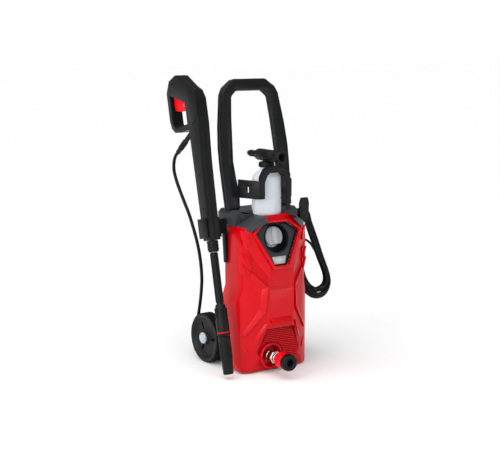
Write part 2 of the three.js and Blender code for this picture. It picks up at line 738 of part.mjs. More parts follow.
// The hank: a hanging ring of lead over the hook's beam, up the outside and down the inside.
const HANK_OUT = [
  [109, 404], [110, 370], [116, 325], [126, 272], [141, 216], [163, 176], [195, 155], [228, 154],
  [251, 172], [257, 203], [246, 243], [227, 283], [205, 335], [184, 380], [172, 404],
];
const HANK_IN = [
  [123, 404], [126, 370], [133, 322], [143, 272], [158, 232], [178, 210], [202, 202], [222, 207],
  [231, 222], [225, 246], [206, 284], [187, 328], [168, 374], [158, 404],
];
const HANK_Y = [-28.5, -3.5];

function cordHank() {
  const arc = (radius) => overBeam(radius, 406, 10).slice(1, -1);
  const outer = prismY([...HANK_OUT, ...arc(31.5)], ...HANK_Y);
  const inner = prismY([...HANK_IN, ...arc(17.6)], -40, 10);
  return cut(outer, inner);
}

const CORD_LEAD = [
  [44, 95, 330], [45, 108, 331], [54, 122, 333], [74, 132, 334], [104, 130, 334],
  [140, 114, 334], [172, 86, 334], [192, 54, 334], [198, 24, 334], [198, 6, 334], [198, -3, 334],
];
const CORD_TAIL = [
  [140, -1, 256], [140, 7, 261.5], [140, 20.5, 265], [140, 34, 261.5], [140, 44.5, 251],
  [140, PLUG_Y, 237], [140, PLUG_Y, 212],
];

const cordGland = () => cut(
  join(
    rod(6.3, [44, 58, 330], [44, 67, 330]),
    turned([[0, 0], [9.5, 0], [9.5, 4], [8, 6], [5.2, 28], [0, 28]], [44, 66.4, 330], Y, 24),
  ),
  rod(3.7, [44, 50, 330], [44, 100, 330], 16),
);

const plug = () => join(
  turned([[0, 0], [13, 0], [18, 6], [18, 24], [10, 34], [7, 50], [0, 50]], [140, PLUG_Y, 161], Z, 28),
  rod(2.4, [130.5, PLUG_Y, 144], [130.5, PLUG_Y, 163], 12),
  rod(2.4, [149.5, PLUG_Y, 144], [149.5, PLUG_Y, 163], 12),
);

// ---- assembly ----
piece('front_housing', frontHousing(), RED);
piece('rear_housing', rearHousing(), BLACK);
piece('base_tray', baseTray(), BLACK);
piece('top_cap', topCap(), BLACK);
piece('handle_front_shell', handleShell(0, HANDLE_DEPTH / 2 - GAP / 2), BLACK);
piece('handle_rear_shell', handleShell(HANDLE_DEPTH / 2 + GAP / 2, HANDLE_DEPTH), BLACK);
piece('bottle_bracket', bottleBracket(), BLACK);
piece('control_panel', controlPanel(), GREY);
piece('dial_cup', dialCup(), BLACK);
piece('switch_knob', switchKnob(), SILVER);
piece('indicator_window', indicatorWindow(), SMOKE);
piece('rotary_switch', rotarySwitch(), GREY);
piece('motor_can', motorCan(), ALLOY);
piece('rotor', rotor(), COPPER);
piece('bearing_lower', bearing(170.5), STEEL);
piece('bearing_upper', bearing(298), STEEL);
piece('cooling_fan', coolingFan(), BLACK);
piece('swash_plate', swashPlate(), STEEL);
piece('pump_body', pumpBody(), ALLOY);
pistonPlaces().forEach((place, i) => piece(`piston_${i + 1}`, piston(place), STEEL));
piece('pump_head', pumpHead(), BRASS);
piece('capacitor', rod(16, [60, 2, 200], [60, 2, 262], 20), SMOKE);
piece('water_inlet', waterInlet(), STEEL);
piece('inlet_collar', inletCollar(), BRIGHT_RED);
piece('hose_connector', hoseConnector(), BLACK);
piece('outlet_fitting', outletFitting(), BRASS);
piece('axle', axle(), STEEL);
for (const [side, word] of [[-1, 'left'], [1, 'right']]) {
  piece(`wheel_${word}`, wheel(side), BLACK);
  piece(`hub_cap_${word}`, hubCap(side), SMOKE);
}
piece('front_foot', frontFoot(), RUBBER);
piece('gun_holder', gunHolder(), BLACK);
piece('cord_hook', cordHook(), BLACK);
piece('foam_bottle', foamBottle(), MILK);
piece('foam_head', foamHead(), BLACK);
piece('foam_nozzle', foamNozzle(), BLACK);
piece('suction_tube', suctionTube(), MILK);
piece('gun_left_shell', gunShell(-1), BLACK);
piece('gun_right_shell', gunShell(1), BLACK);
piece('gun_valve', gunValve(), BRASS);
piece('hose_swivel', hoseSwivel(), BLACK);
piece('trigger', trigger(), BRIGHT_RED);
piece('trigger_pin', triggerPin(), STEEL);
piece('gun_button', gunButton(), BRIGHT_RED);
piece('lance_collar', lanceCollar(), BLACK);
piece('lance_tube', lanceTube(), BLACK);
piece('nozzle_body', nozzleBody(), BLACK);
piece('nozzle_sleeve', nozzleSleeve(), BLACK);
piece('hose_nut', hoseNut(), BLACK);
piece('hose_run', tube(HOSE_RUN, HOSE_D, 54), BLACK);
piece('hose_coil', hoseCoil(), BLACK);
piece('hose_tail', tube(HOSE_TAIL, HOSE_D, 16), BLACK);
piece('cord_gland', cordGland(), BLACK);
piece('cord_lead', tube(CORD_LEAD, LEAD_D, 26), BLACK);
piece('cord_hank', cordHank(), BLACK);
piece('cord_tail', tube(CORD_TAIL, LEAD_D, 12), BLACK);
piece('plug', plug(), BLACK);

// The origin is the middle of the footprint of everything but the loose hose and lead.
const LOOSE = ['hose_nut', 'hose_run', 'hose_coil', 'hose_tail', 'cord_gland', 'cord_lead',
  'cord_hank', 'cord_tail', 'plug'];
const box = new THREE.Box3();
for (const mesh of machine.children) {
  if (!LOOSE.includes(mesh.name)) box.expandByObject(mesh);
}
const middle = box.getCenter(new THREE.Vector3());
machine.position.set(-middle.x, -middle.y, -box.min.z);

const washer = new THREE.Group();
washer.add(machine);
export default washer;
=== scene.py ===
"""An upright electric pressure washer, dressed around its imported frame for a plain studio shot.

Sizes are in millimetres of the machine's own drawing: x to the right, y to the back, z up, with
the motor's axis on x = 0 and the ground at z = 0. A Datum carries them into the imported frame.
"""

from __future__ import annotations

import json
import logging
import math
from dataclasses import dataclass
from enum import Enum
from typing import Iterable, Sequence

import bmesh
import bpy
from mathutils import Matrix, Vector

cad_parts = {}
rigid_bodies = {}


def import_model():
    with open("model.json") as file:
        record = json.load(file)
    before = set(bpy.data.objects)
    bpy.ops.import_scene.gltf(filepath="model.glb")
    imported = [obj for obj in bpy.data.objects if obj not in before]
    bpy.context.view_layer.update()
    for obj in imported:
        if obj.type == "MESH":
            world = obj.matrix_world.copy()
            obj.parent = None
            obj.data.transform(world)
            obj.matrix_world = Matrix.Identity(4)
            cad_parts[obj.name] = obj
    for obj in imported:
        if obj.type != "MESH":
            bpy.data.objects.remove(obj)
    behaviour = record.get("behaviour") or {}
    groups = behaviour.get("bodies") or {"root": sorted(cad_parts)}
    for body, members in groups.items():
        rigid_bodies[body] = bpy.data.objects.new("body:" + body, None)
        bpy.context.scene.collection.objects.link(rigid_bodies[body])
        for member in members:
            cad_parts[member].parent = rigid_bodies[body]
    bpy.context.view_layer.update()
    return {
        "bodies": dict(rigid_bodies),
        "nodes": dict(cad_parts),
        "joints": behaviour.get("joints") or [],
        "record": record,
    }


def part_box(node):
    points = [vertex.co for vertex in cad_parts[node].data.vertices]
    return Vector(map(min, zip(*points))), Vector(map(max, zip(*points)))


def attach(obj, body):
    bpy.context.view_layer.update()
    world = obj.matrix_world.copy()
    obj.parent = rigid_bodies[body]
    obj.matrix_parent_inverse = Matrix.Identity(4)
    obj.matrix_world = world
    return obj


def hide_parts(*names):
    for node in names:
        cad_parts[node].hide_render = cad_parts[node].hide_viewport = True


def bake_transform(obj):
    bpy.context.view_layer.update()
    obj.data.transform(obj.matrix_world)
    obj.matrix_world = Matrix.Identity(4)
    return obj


LOG = logging.getLogger("washer")
MM = 0.001
IDENTITY = Matrix.Identity(4)
Point = Sequence[float]
Outline = Sequence[Sequence[float]]


# ---------------------------------------------------------------- frames and outlines


def lean_back(degrees: float, foot: Point) -> Matrix:
    """A frame that stands at a foot point and leans back about x.

    Args:
        degrees: how far it leans.
        foot: its origin.

    Returns:
        The matrix from the leaning frame to the machine.
    """
    return Matrix.Translation(Vector(foot)) @ Matrix.Rotation(-math.radians(degrees), 4, "X")


PANEL = lean_back(13.8, (0, -120, 298))
HANDLE = lean_back(9.3, (0, -22, 450.3))
GUN = lean_back(12.53, (-160, -101, 0))
LAID_DOWN = Matrix.Rotation(math.pi / 2, 4, "X")  # z turned to run along y


def mirrored(half: Outline) -> list[tuple[float, float]]:
    """An outline symmetric about x = 0, from its right half.

    Args:
        half: corners of the right half, in order.

    Returns:
        The whole outline.
    """
    right = [(u, v) for u, v in half]
    return right + [(-u, v) for u, v in reversed(right)]


def smooth_line(points: Sequence[Point], spacing: float) -> list[Vector]:
    """A smooth curve through points, sampled evenly.

    Args:
        points: the points that it passes through.
        spacing: distance between samples.

    Returns:
        The samples.
    """
    knots = [Vector(p) for p in points]
    ends = [knots[0] * 2 - knots[1], *knots, knots[-1] * 2 - knots[-2]]
    dense: list[Vector] = []
    for a, b, c, d in zip(ends, ends[1:], ends[2:], ends[3:]):
        steps = max(4, int((c - b).length / spacing * 3))
        for i in range(steps):
            t = i / steps
            dense.append(
                0.5 * (2 * b + (c - a) * t + (2 * a - 5 * b + 4 * c - d) * t**2
                       + (3 * b - a - 3 * c + d) * t**3)
            )
    dense.append(knots[-1])
    return evenly(dense, spacing)


def evenly(points: Sequence[Vector], spacing: float) -> list[Vector]:
    """Points at even distances along a polyline.

    Args:
        points: the polyline.
        spacing: the distance wanted.

    Returns:
        The new points, both ends included.
    """
    total = run_length(points)
    count = max(2, round(total / spacing))
    step = total / count
    out = [points[0].copy()]
    walked, wanted = 0.0, step
    for a, b in zip(points, points[1:]):
        part = (b - a).length
        while part > 0 and walked + part >= wanted and len(out) < count:
            out.append(a.lerp(b, (wanted - walked) / part))
            wanted += step
        walked += part
    out.append(points[-1].copy())
    return out


def run_length(points: Sequence[Vector]) -> float:
    """Length of a polyline."""
    return sum((b - a).length for a, b in zip(points, points[1:]))


def prism_faces(n: int) -> list[tuple[int, ...]]:
    """Faces of a prism whose near and far ends have n corners each, near end first."""
    sides = [(i, (i + 1) % n, n + (i + 1) % n, n + i) for i in range(n)]
    return [tuple(range(n)), tuple(range(n, 2 * n)), *sides]


# ---------------------------------------------------------------- nodes


def add_node(tree: bpy.types.NodeTree, kind: str, settings: dict | None = None,
             inputs: dict | None = None) -> bpy.types.Node:
    """Adds a node with its settings and links.

    Args:
        tree: the tree that it goes into.
        kind: the node's type name.
        settings: attributes of the node.
        inputs: for each input, by name or index, a value or a socket to link from.

    Returns:
        The node.
    """
    node = tree.nodes.new(kind)
    for key, value in (settings or {}).items():
        setattr(node, key, value)
    for key, value in (inputs or {}).items():
        if isinstance(value, bpy.types.NodeSocket):
            tree.links.new(value, node.inputs[key])
        else:
            node.inputs[key].default_value = value
    return node


def linear(hex_colour: str) -> tuple[float, float, float, float]:
    """An sRGB hex colour as linear RGBA."""
    parts = [int(hex_colour[i:i + 2], 16) / 255 for i in (1, 3, 5)]
    flat = [c / 12.92 if c <= 0.04045 else ((c + 0.055) / 1.055) ** 2.4 for c in parts]
    return (*flat, 1.0)


# ---------------------------------------------------------------- finishes


class Slot(Enum):
    """The record's material slots."""

    RED_SHELL = "red_shell"
    BLACK_SHELL = "black_shell"
    HANDLE = "handle_black"
    PANEL = "panel_grey"
    KNOB = "knob_silver"
    WINDOW = "window_smoke"
    STEEL = "rotor_steel"
    BRIGHT = "bright_metal"
    BRIGHT_RED = "bright_red"
    CONNECTOR = "connector_black"
    WHEEL = "wheel_black"
    HUB = "hub_grey"
    RUBBER = "rubber"
    BOTTLE = "bottle_milk"
    GUN = "gun_black"
    HOSE = "hose_black"
    LEAD = "cord_black"


@dataclass(frozen=True)
class Moulding:
    """An injection-moulded plastic or rubber with the fine spark-eroded texture of its tool.

    The texture breaks up highlights into a satin sheen; a slow drift in colour and gloss keeps
    large faces from looking like paper. The real texture is too fine to show, so its grain is
    drawn coarser, at 0.8 to 3 mm. The shine is how strongly the bare plastic reflects.
    """

    name: str
    colour: str
    shade: str
    roughness: float
    grain_mm: float = 0.9
    grain_depth_mm: float = 0.03
    coat: float = 0.0
    translucency: float = 0.0
    shine: float = 0.16

    def material(self) -> bpy.types.Material:
        """The finish as a new material.

        Returns:
            The material.
        """
        material = bpy.data.materials.new(self.name)
        material.use_nodes = True
        tree = material.node_tree
        shader = tree.nodes["Principled BSDF"]
        place = add_node(tree, "ShaderNodeTexCoord").outputs["Object"]
        drift = add_node(tree, "ShaderNodeTexNoise", inputs={
            "Vector": place, "Scale": 1 / (70 * MM), "Detail": 3.0})
        grain = add_node(tree, "ShaderNodeTexNoise", inputs={
            "Vector": place, "Scale": 1 / (self.grain_mm * MM), "Detail": 2.0})
        colour = add_node(tree, "ShaderNodeMix", {"data_type": "RGBA"}, {
            "Factor": drift.outputs["Fac"], 6: linear(self.colour), 7: linear(self.shade)})
        gloss = add_node(tree, "ShaderNodeMapRange", inputs={
            "Value": drift.outputs["Fac"], "From Min": 0.3, "From Max": 0.7,
            "To Min": self.roughness * 0.9, "To Max": self.roughness * 1.12})
        bump = add_node(tree, "ShaderNodeBump", inputs={
            "Height": grain.outputs["Fac"], "Strength": 0.5,
            "Distance": self.grain_depth_mm * MM})
        tree.links.new(colour.outputs[2], shader.inputs["Base Color"])
        tree.links.new(gloss.outputs["Result"], shader.inputs["Roughness"])
        tree.links.new(bump.outputs["Normal"], shader.inputs["Normal"])
        shader.inputs["IOR"].default_value = 1.5
        shader.inputs["Specular IOR Level"].default_value = self.shine
        shader.inputs["Coat Weight"].default_value = self.coat
        shader.inputs["Coat Roughness"].default_value = 0.12
        if self.translucency:
            shader.inputs["Transmission Weight"].default_value = self.translucency
            shader.inputs["Subsurface Weight"].default_value = 0.4
            shader.inputs["Subsurface Radius"].default_value = (0.012, 0.012, 0.013)
        return material


@dataclass(frozen=True)
class BareMetal:
    """A metal left bare: turned, cast or plated, with faint tool marks in its gloss."""

    name: str
    colour: str
    roughness: float
    grain_mm: float = 1.5

    def material(self) -> bpy.types.Material:
        """The finish as a new material.

        Returns:
            The material.
        """
        material = bpy.data.materials.new(self.name)
        material.use_nodes = True
        tree = material.node_tree
        shader = tree.nodes["Principled BSDF"]
        place = add_node(tree, "ShaderNodeTexCoord").outputs["Object"]
        marks = add_node(tree, "ShaderNodeTexNoise", inputs={
            "Vector": place, "Scale": 1 / (self.grain_mm * MM), "Detail": 4.0})
        gloss = add_node(tree, "ShaderNodeMapRange", inputs={
            "Value": marks.outputs["Fac"], "To Min": self.roughness * 0.75,
            "To Max": self.roughness * 1.3})
        tree.links.new(gloss.outputs["Result"], shader.inputs["Roughness"])
        shader.inputs["Base Color"].default_value = linear(self.colour)
        shader.inputs["Metallic"].default_value = 1.0
        return material


# Gloss ABS of the red cover: saturated, with soft highlights along each facet.
RED_ABS = Moulding("ABS_moulded_gloss_red", "#c80010", "#b8000c", 0.3, 1.6, 0.015, 0.08)
# Deeper red of painted shade on the parting walls and recesses, where little light reaches.
RED_PAINTED_SHADE = Moulding("ABS_red_painted_recess_shade", "#8c0009", "#740006", 0.45)
# Textured polypropylene: near black, satin.
BLACK_PP = Moulding("polypropylene_moulded_black", "#0f1011", "#151617", 0.4, 1.1, 0.035)
# Smoother nylon of the hoop handle: its facets pick up long grey highlights.
HANDLE_PA = Moulding("nylon_moulded_satin_black", "#141516", "#1a1b1d", 0.34, 1.3, 0.02)
# Nylon of the gun and lance: near black, a little duller than the handle.
GUN_PA = Moulding("nylon_moulded_gun_black", "#0e0f10", "#141516", 0.38, 1.2, 0.025)
# Fine-textured grey ABS plate of the control panel.
PANEL_ABS = Moulding("ABS_textured_slate_grey", "#34373b", "#2e3034", 0.5, 0.8, 0.05)
# Silver paint over ABS: pale and softly shiny.
KNOB_PAINT = Moulding("ABS_painted_silver", "#a9adb2", "#989ca1", 0.32, 1.0, 0.01, 0.2, 0.0, 0.5)
# ABS of the collar: dark grey, lighter than the black mouldings.
COLLAR_ABS = Moulding("ABS_moulded_collar_grey", "#3c3e41", "#333538", 0.32, 1.2, 0.02)
# Polycarbonate of the window: pale grey and glossy, and drawn opaque.
WINDOW_PC = Moulding("polycarbonate_smoke_window", "#b5b8bb", "#a8abae", 0.16, 2.0, 0.005, 0.5)
# PBT of the electrical parts: dull mid grey.
ELECTRIC_PBT = Moulding("PBT_moulded_grey", "#77797c", "#6c6e71", 0.5)
# Signal red of the parts that a hand works.
SIGNAL_RED = Moulding("acetal_moulded_signal_red", "#ee0210", "#dc000e", 0.36, 1.4, 0.02)
# Nylon of the hose connector: near black, satin.
CONNECTOR_PA = Moulding("nylon_moulded_connector_black", "#0f1011", "#141517", 0.4, 1.2, 0.03)
# Polypropylene of the wheels: near black, drier than the shells.
WHEEL_PP = Moulding("polypropylene_moulded_wheel_black", "#131415", "#18191a", 0.46, 1.4, 0.04)
# Rubber of the tread and the front foot: the dullest black here.
TREAD_RUBBER = Moulding("rubber_moulded_tread", "#0e0f10", "#131415", 0.66, 1.2, 0.06)
# ABS of the hub caps: pale bluish grey, satin.
HUB_ABS = Moulding("ABS_moulded_hub_grey", "#aeb6be", "#a2aab2", 0.4, 1.5, 0.02)
# Blow-moulded polyethylene: milky, with light passing softly through the wall.
BOTTLE_PE = Moulding("polyethylene_blown_milky", "#eef2f8", "#e2e8f2", 0.3, 3.0, 0.02, 0.0, 0.35)
# Vinyl-covered high-pressure hose and mains lead: smooth extruded skin, semi-gloss.
HOSE_PVC = Moulding("PVC_extruded_hose_black", "#080808", "#0c0c0d", 0.36, 2.0, 0.02)
LEAD_PVC = Moulding("PVC_extruded_lead_black", "#080808", "#0d0d0e", 0.36, 2.0, 0.02)
# Nickel-plated brass: bright, with long soft reflections.
NICKEL = BareMetal("nickel_plated_turned", "#d4d2cf", 0.14)
# Turned brass: yellow, with a soft sheen.
BRASS = BareMetal("brass_turned", "#b98f49", 0.28)
# Die-cast aluminium: pale grey and dull.
CAST_ALLOY = BareMetal("aluminium_die_cast", "#a8abae", 0.5, 0.8)
# Ground steel of shafts and screws: grey, less bright than the plating.
STEEL = BareMetal("steel_ground", "#bfc2c5", 0.26)
# White backdrop paper: matt, so the floor hardly mirrors the machine.
FLOOR_CARD = Moulding("paper_backdrop_white", "#fafafa", "#f8f8f8", 0.9)


# ---------------------------------------------------------------- repeated and swept details


class Trees:
    """The node trees that repeat or sweep a small shape."""

    def __init__(self) -> None:
        """Builds each tree once."""
        self.ring = self._ring()
        self.row = self._row()
        self.sweep = self._sweep()
        self.studs = self._studs()

    @staticmethod
    def _new(name: str, sockets: dict[str, tuple[str, object]]) -> bpy.types.NodeTree:
        """A tree with a geometry input and output and named sizes.

        Args:
            name: the tree's name.
            sockets: for each input, its socket type and default.

        Returns:
            The tree, with its Group Input and Group Output.
        """
        tree = bpy.data.node_groups.new(name, "GeometryNodeTree")
        tree.interface.new_socket("Geometry", in_out="INPUT", socket_type="NodeSocketGeometry")
        tree.interface.new_socket("Geometry", in_out="OUTPUT", socket_type="NodeSocketGeometry")
        for key, (kind, default) in sockets.items():
            socket = tree.interface.new_socket(key, in_out="INPUT", socket_type=kind)
            if default is not None:
                socket.default_value = default
        add_node(tree, "NodeGroupInput")
        add_node(tree, "NodeGroupOutput")
        return tree

    @staticmethod
    def _close(tree: bpy.types.NodeTree, instances: bpy.types.NodeSocket,
               material: bpy.types.NodeSocket) -> None:
        """Ends a tree in Realize Instances and Set Material.

        Args:
            tree: the tree.
            instances: the instances to end with.
            material: the material to set.
        """
        real = add_node(tree, "GeometryNodeRealizeInstances", inputs={"Geometry": instances})
        skin = add_node(tree, "GeometryNodeSetMaterial", inputs={
            "Geometry": real.outputs[0], "Material": material})
        tree.links.new(skin.outputs[0], tree.nodes["Group Output"].inputs[0])

    def _ring(self) -> bpy.types.NodeTree:
        """Blocks at even angles round the z axis: tread lugs, knurls, flutes.

        Returns:
            The tree.
        """
        tree = self._new("ring_of_blocks", {
            "Count": ("NodeSocketInt", 12), "Radius": ("NodeSocketFloat", 10.0),
            "Block": ("NodeSocketVector", (1.0, 1.0, 1.0)),
            "Material": ("NodeSocketMaterial", None)})
        source = tree.nodes["Group Input"].outputs
        circle = add_node(tree, "GeometryNodeMeshCircle", inputs={
            "Vertices": source["Count"], "Radius": source["Radius"]})
        block = add_node(tree, "GeometryNodeMeshCube", inputs={"Size": source["Block"]})
        outward = add_node(tree, "FunctionNodeAlignRotationToVector",
                           {"axis": "X", "pivot_axis": "Z"}, {
                               "Vector": add_node(tree, "GeometryNodeInputPosition").outputs[0]})
        laid = add_node(tree, "GeometryNodeInstanceOnPoints", inputs={
            "Points": circle.outputs["Mesh"], "Instance": block.outputs["Mesh"],
            "Rotation": outward.outputs[0]})
        self._close(tree, laid.outputs[0], source["Material"])
        return tree

    def _row(self) -> bpy.types.NodeTree:
        """Blocks at even steps along a line, each tilted alike: slats and notches.

        Returns:
            The tree.
        """
        tree = self._new("row_of_blocks", {
            "Count": ("NodeSocketInt", 5), "Start": ("NodeSocketVector", (0.0, 0.0, 0.0)),
            "Step": ("NodeSocketVector", (0.0, 0.0, 5.0)),
            "Block": ("NodeSocketVector", (1.0, 1.0, 1.0)),
            "Tilt": ("NodeSocketVector", (0.0, 0.0, 0.0)),
            "Material": ("NodeSocketMaterial", None)})
        source = tree.nodes["Group Input"].outputs
        line = add_node(tree, "GeometryNodeMeshLine", inputs={
            "Count": source["Count"], "Start Location": source["Start"],
            "Offset": source["Step"]})
        block = add_node(tree, "GeometryNodeMeshCube", inputs={"Size": source["Block"]})
        turn = add_node(tree, "FunctionNodeEulerToRotation", inputs={0: source["Tilt"]})
        laid = add_node(tree, "GeometryNodeInstanceOnPoints", inputs={
            "Points": line.outputs[0], "Instance": block.outputs["Mesh"],
            "Rotation": turn.outputs[0]})
        self._close(tree, laid.outputs[0], source["Material"])
        return tree

    def _sweep(self) -> bpy.types.NodeTree:
        """A round bead swept along every open run of edges: ribs, grooves, seams.

        Returns:
            The tree.
        """
        tree = self._new("bead_along_edges", {
            "Radius": ("NodeSocketFloat", 1.0), "Sides": ("NodeSocketInt", 8),
            "Material": ("NodeSocketMaterial", None)})
        source = tree.nodes["Group Input"].outputs
        curve = add_node(tree, "GeometryNodeMeshToCurve", inputs={"Mesh": source["Geometry"]})
        section = add_node(tree, "GeometryNodeCurvePrimitiveCircle", inputs={
            "Resolution": source["Sides"], "Radius": source["Radius"]})
        bead = add_node(tree, "GeometryNodeCurveToMesh", inputs={
            "Curve": curve.outputs[0], "Profile Curve": section.outputs[0], "Fill Caps": True})
        self._close(tree, bead.outputs[0], source["Material"])
        return tree

    def _studs(self) -> bpy.types.NodeTree:
        """A short round stud standing on every point: screw heads and dimples.

        Returns:
            The tree.
        """
        tree = self._new("stud_on_points", {
            "Radius": ("NodeSocketFloat", 2.0), "Height": ("NodeSocketFloat", 1.0),
            "Turn": ("NodeSocketVector", (0.0, 0.0, 0.0)),
            "Material": ("NodeSocketMaterial", None)})
        source = tree.nodes["Group Input"].outputs
        stud = add_node(tree, "GeometryNodeMeshCylinder", inputs={
            "Vertices": 24, "Radius": source["Radius"], "Depth": source["Height"]})
        turn = add_node(tree, "FunctionNodeEulerToRotation", inputs={0: source["Turn"]})
        laid = add_node(tree, "GeometryNodeInstanceOnPoints", inputs={
            "Points": source["Geometry"], "Instance": stud.outputs["Mesh"],
            "Rotation": turn.outputs[0]})
        self._close(tree, laid.outputs[0], source["Material"])
        return tree


# ---------------------------------------------------------------- workshop


class Workshop:
    """Makes solids in the drawing's millimetres and fits them to the frame."""

    def __init__(self, nodes: dict[str, bpy.types.Object]) -> None:
        """Finds the datum and builds the node trees.

        Args:
            nodes: the frame's objects, by node name.
        """
        self.frame_nodes = nodes
        low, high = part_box("axle")
        middle = (low + high) / 2
        self.shift = Vector((middle.x, middle.y - Wheels.axle_y * MM, 0.0))
        self.datum = Matrix.Translation(self.shift) @ Matrix.Scale(MM, 4)
        self.trees = Trees()
        self._skins: dict[object, bpy.types.Material] = {}

    def world(self, point: Point, frame: Matrix = IDENTITY) -> Vector:
        """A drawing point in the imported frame, in metres."""
        return self.datum @ frame @ Vector(point)

    def skin(self, finish: Moulding | BareMetal) -> bpy.types.Material:
        """The finish's material, made once."""
        if finish not in self._skins:
            self._skins[finish] = finish.material()
        return self._skins[finish]

    # -- raw solids

    def mesh(self, name: str, points: Iterable[Point], faces: Iterable[Sequence[int]],
             frame: Matrix = IDENTITY, edges: Iterable[Sequence[int]] = ()) -> bpy.types.Object:
        """A mesh object with its place in its vertices.

        Args:
            name: the piece's name.
            points: vertices, in the frame's millimetres.
            faces: vertex numbers of each face.
            frame: the frame that the points are in.
            edges: loose edges, for runs that a bead follows.

        Returns:
            The object, at the origin.
        """
        place = self.datum @ frame
        data = bpy.data.meshes.new(name)
        data.from_pydata([place @ Vector(p) for p in points], list(edges), list(faces))
        obj = bpy.data.objects.new(name, data)
        bpy.context.scene.collection.objects.link(obj)
        return self.close_up(obj)

    @staticmethod
    def close_up(obj: bpy.types.Object) -> bpy.types.Object:
        """Merges doubles and turns faces outwards.

        Args:
            obj: the object.

        Returns:
            The same object.
        """
        if not obj.data.polygons:
            return obj
        shape = bmesh.new()
        shape.from_mesh(obj.data)
        bmesh.ops.remove_doubles(shape, verts=shape.verts, dist=0.01 * MM)
        bmesh.ops.recalc_face_normals(shape, faces=shape.faces)
        shape.to_mesh(obj.data)
        shape.free()
        return obj

    def lathe(self, name: str, profile: Outline, at: Point, axis: Point, sides: int = 72,
              frame: Matrix = IDENTITY, squash: float = 1.0) -> bpy.types.Object:
        """A profile turned about an axis.

        Args:
            name: the piece's name.
            profile: (radius, height) pairs from axis to axis, or a closed loop.
            at: where the axis starts.
            axis: its direction.
            sides: steps in a turn.
            frame: the frame of at and axis.
            squash: depth over width, for an oval.

        Returns:
            The object.
        """
        turn = Vector((0, 0, 1)).rotation_difference(Vector(axis)).to_matrix().to_4x4()
        local = Matrix.Translation(Vector(at)) @ turn @ Matrix.Diagonal((1, squash, 1, 1))
        points = []
        for radius, height in profile:
            for i in range(sides):
                a = 2 * math.pi * i / sides
                points.append((radius * math.cos(a), radius * math.sin(a), height))
        faces = []
        for row in range(len(profile) - 1):
            for i in range(sides):
                j = (i + 1) % sides
                a, b = row * sides, (row + 1) * sides
                faces.append((a + i, a + j, b + j, b + i))
        return self.mesh(name, points, faces, frame @ local)

    def prism(self, name: str, outline: Outline, plane: str, start: float, end: float,
              frame: Matrix = IDENTITY) -> bpy.types.Object:
        """A straight prism.

        Args:
            name: the piece's name.
            outline: corners in the plane.
            plane: the axis that it runs along: X takes (y, z), Y takes (x, z), Z takes (x, y).
            start: where it starts on that axis.
            end: where it ends.
            frame: the frame of all three.

        Returns:
            The object.
        """
        order = {"X": lambda u, v, w: (w, u, v), "Y": lambda u, v, w: (u, w, v),
                 "Z": lambda u, v, w: (u, v, w)}[plane]
        n = len(outline)
        points = [order(u, v, w) for w in (start, end) for u, v in outline]
        return self.mesh(name, points, prism_faces(n), frame)

    def box(self, name: str, low: Point, high: Point,
            frame: Matrix = IDENTITY) -> bpy.types.Object:
        """A block between two corners."""
        outline = [(low[0], low[1]), (high[0], low[1]), (high[0], high[1]), (low[0], high[1])]
        return self.prism(name, outline, "Z", low[2], high[2], frame)

    def rod(self, name: str, radius: float, start: Point, end: Point, sides: int = 48,
            frame: Matrix = IDENTITY) -> bpy.types.Object:
        """A plain rod between two points."""
        axis = Vector(end) - Vector(start)
        profile = [(0, 0), (radius, 0), (radius, axis.length), (0, axis.length)]
        return self.lathe(name, profile, start, axis, sides, frame)

    def tube(self, name: str, path: Sequence[Vector], radius: float,
             sides: int = 14) -> bpy.types.Object:
        """A round tube along a path, with closed ends.

        Args:
            name: the piece's name.
            path: centreline samples, in drawing millimetres.
            radius: its radius.
            sides: sides of its section.

        Returns:
            The object.
        """
        points: list[Vector] = []
        ahead = (path[1] - path[0]).normalized()
        side = ahead.orthogonal().normalized()
        for i, at in enumerate(path):
            a, b = path[max(0, i - 1)], path[min(len(path) - 1, i + 1)]
            ahead = (b - a).normalized()
            side = (side - ahead * side.dot(ahead)).normalized()
            across = ahead.cross(side)
            for k in range(sides):
                t = 2 * math.pi * k / sides
                points.append(at + radius * (side * math.cos(t) + across * math.sin(t)))
        faces = [tuple(range(sides)), tuple(range(len(points) - sides, len(points)))]
        for row in range(len(path) - 1):
            for k in range(sides):
                m = (k + 1) % sides
                a, b = row * sides, (row + 1) * sides
                faces.append((a + k, a + m, b + m, b + k))
        return self.mesh(name, points, faces)

    def from_node(self, node: str) -> bpy.types.Object:
        """A merged copy of a CAD node's mesh, with its flat faces made whole.

        Args:
            node: the CAD node's name.

        Returns:
            The copy.
        """
        source = bpy.data.objects[self.frame_nodes[node].name]
        copy = bpy.data.objects.new(f"{node}_dressed", source.data.copy())
        copy.data.materials.clear()
        bpy.context.scene.collection.objects.link(copy)
        shape = bmesh.new()
        shape.from_mesh(copy.data)
        bmesh.ops.remove_doubles(shape, verts=shape.verts, dist=0.005 * MM)
        bmesh.ops.dissolve_limit(shape, angle_limit=math.radians(1.0), verts=shape.verts,
                                 edges=shape.edges)
        shape.to_mesh(copy.data)
        shape.free()
        return copy

    # -- operations

    def bake(self, obj: bpy.types.Object) -> bpy.types.Object:
        """Turns an object's modifiers into plain mesh.

        Args:
            obj: the object.

        Returns:
            The same object.
        """
        if not obj.modifiers:
            return obj
        bpy.context.view_layer.update()
        seen = obj.evaluated_get(bpy.context.evaluated_depsgraph_get())
        data = bpy.data.meshes.new_from_object(seen)
        obj.modifiers.clear()
        obj.data = data
        return obj

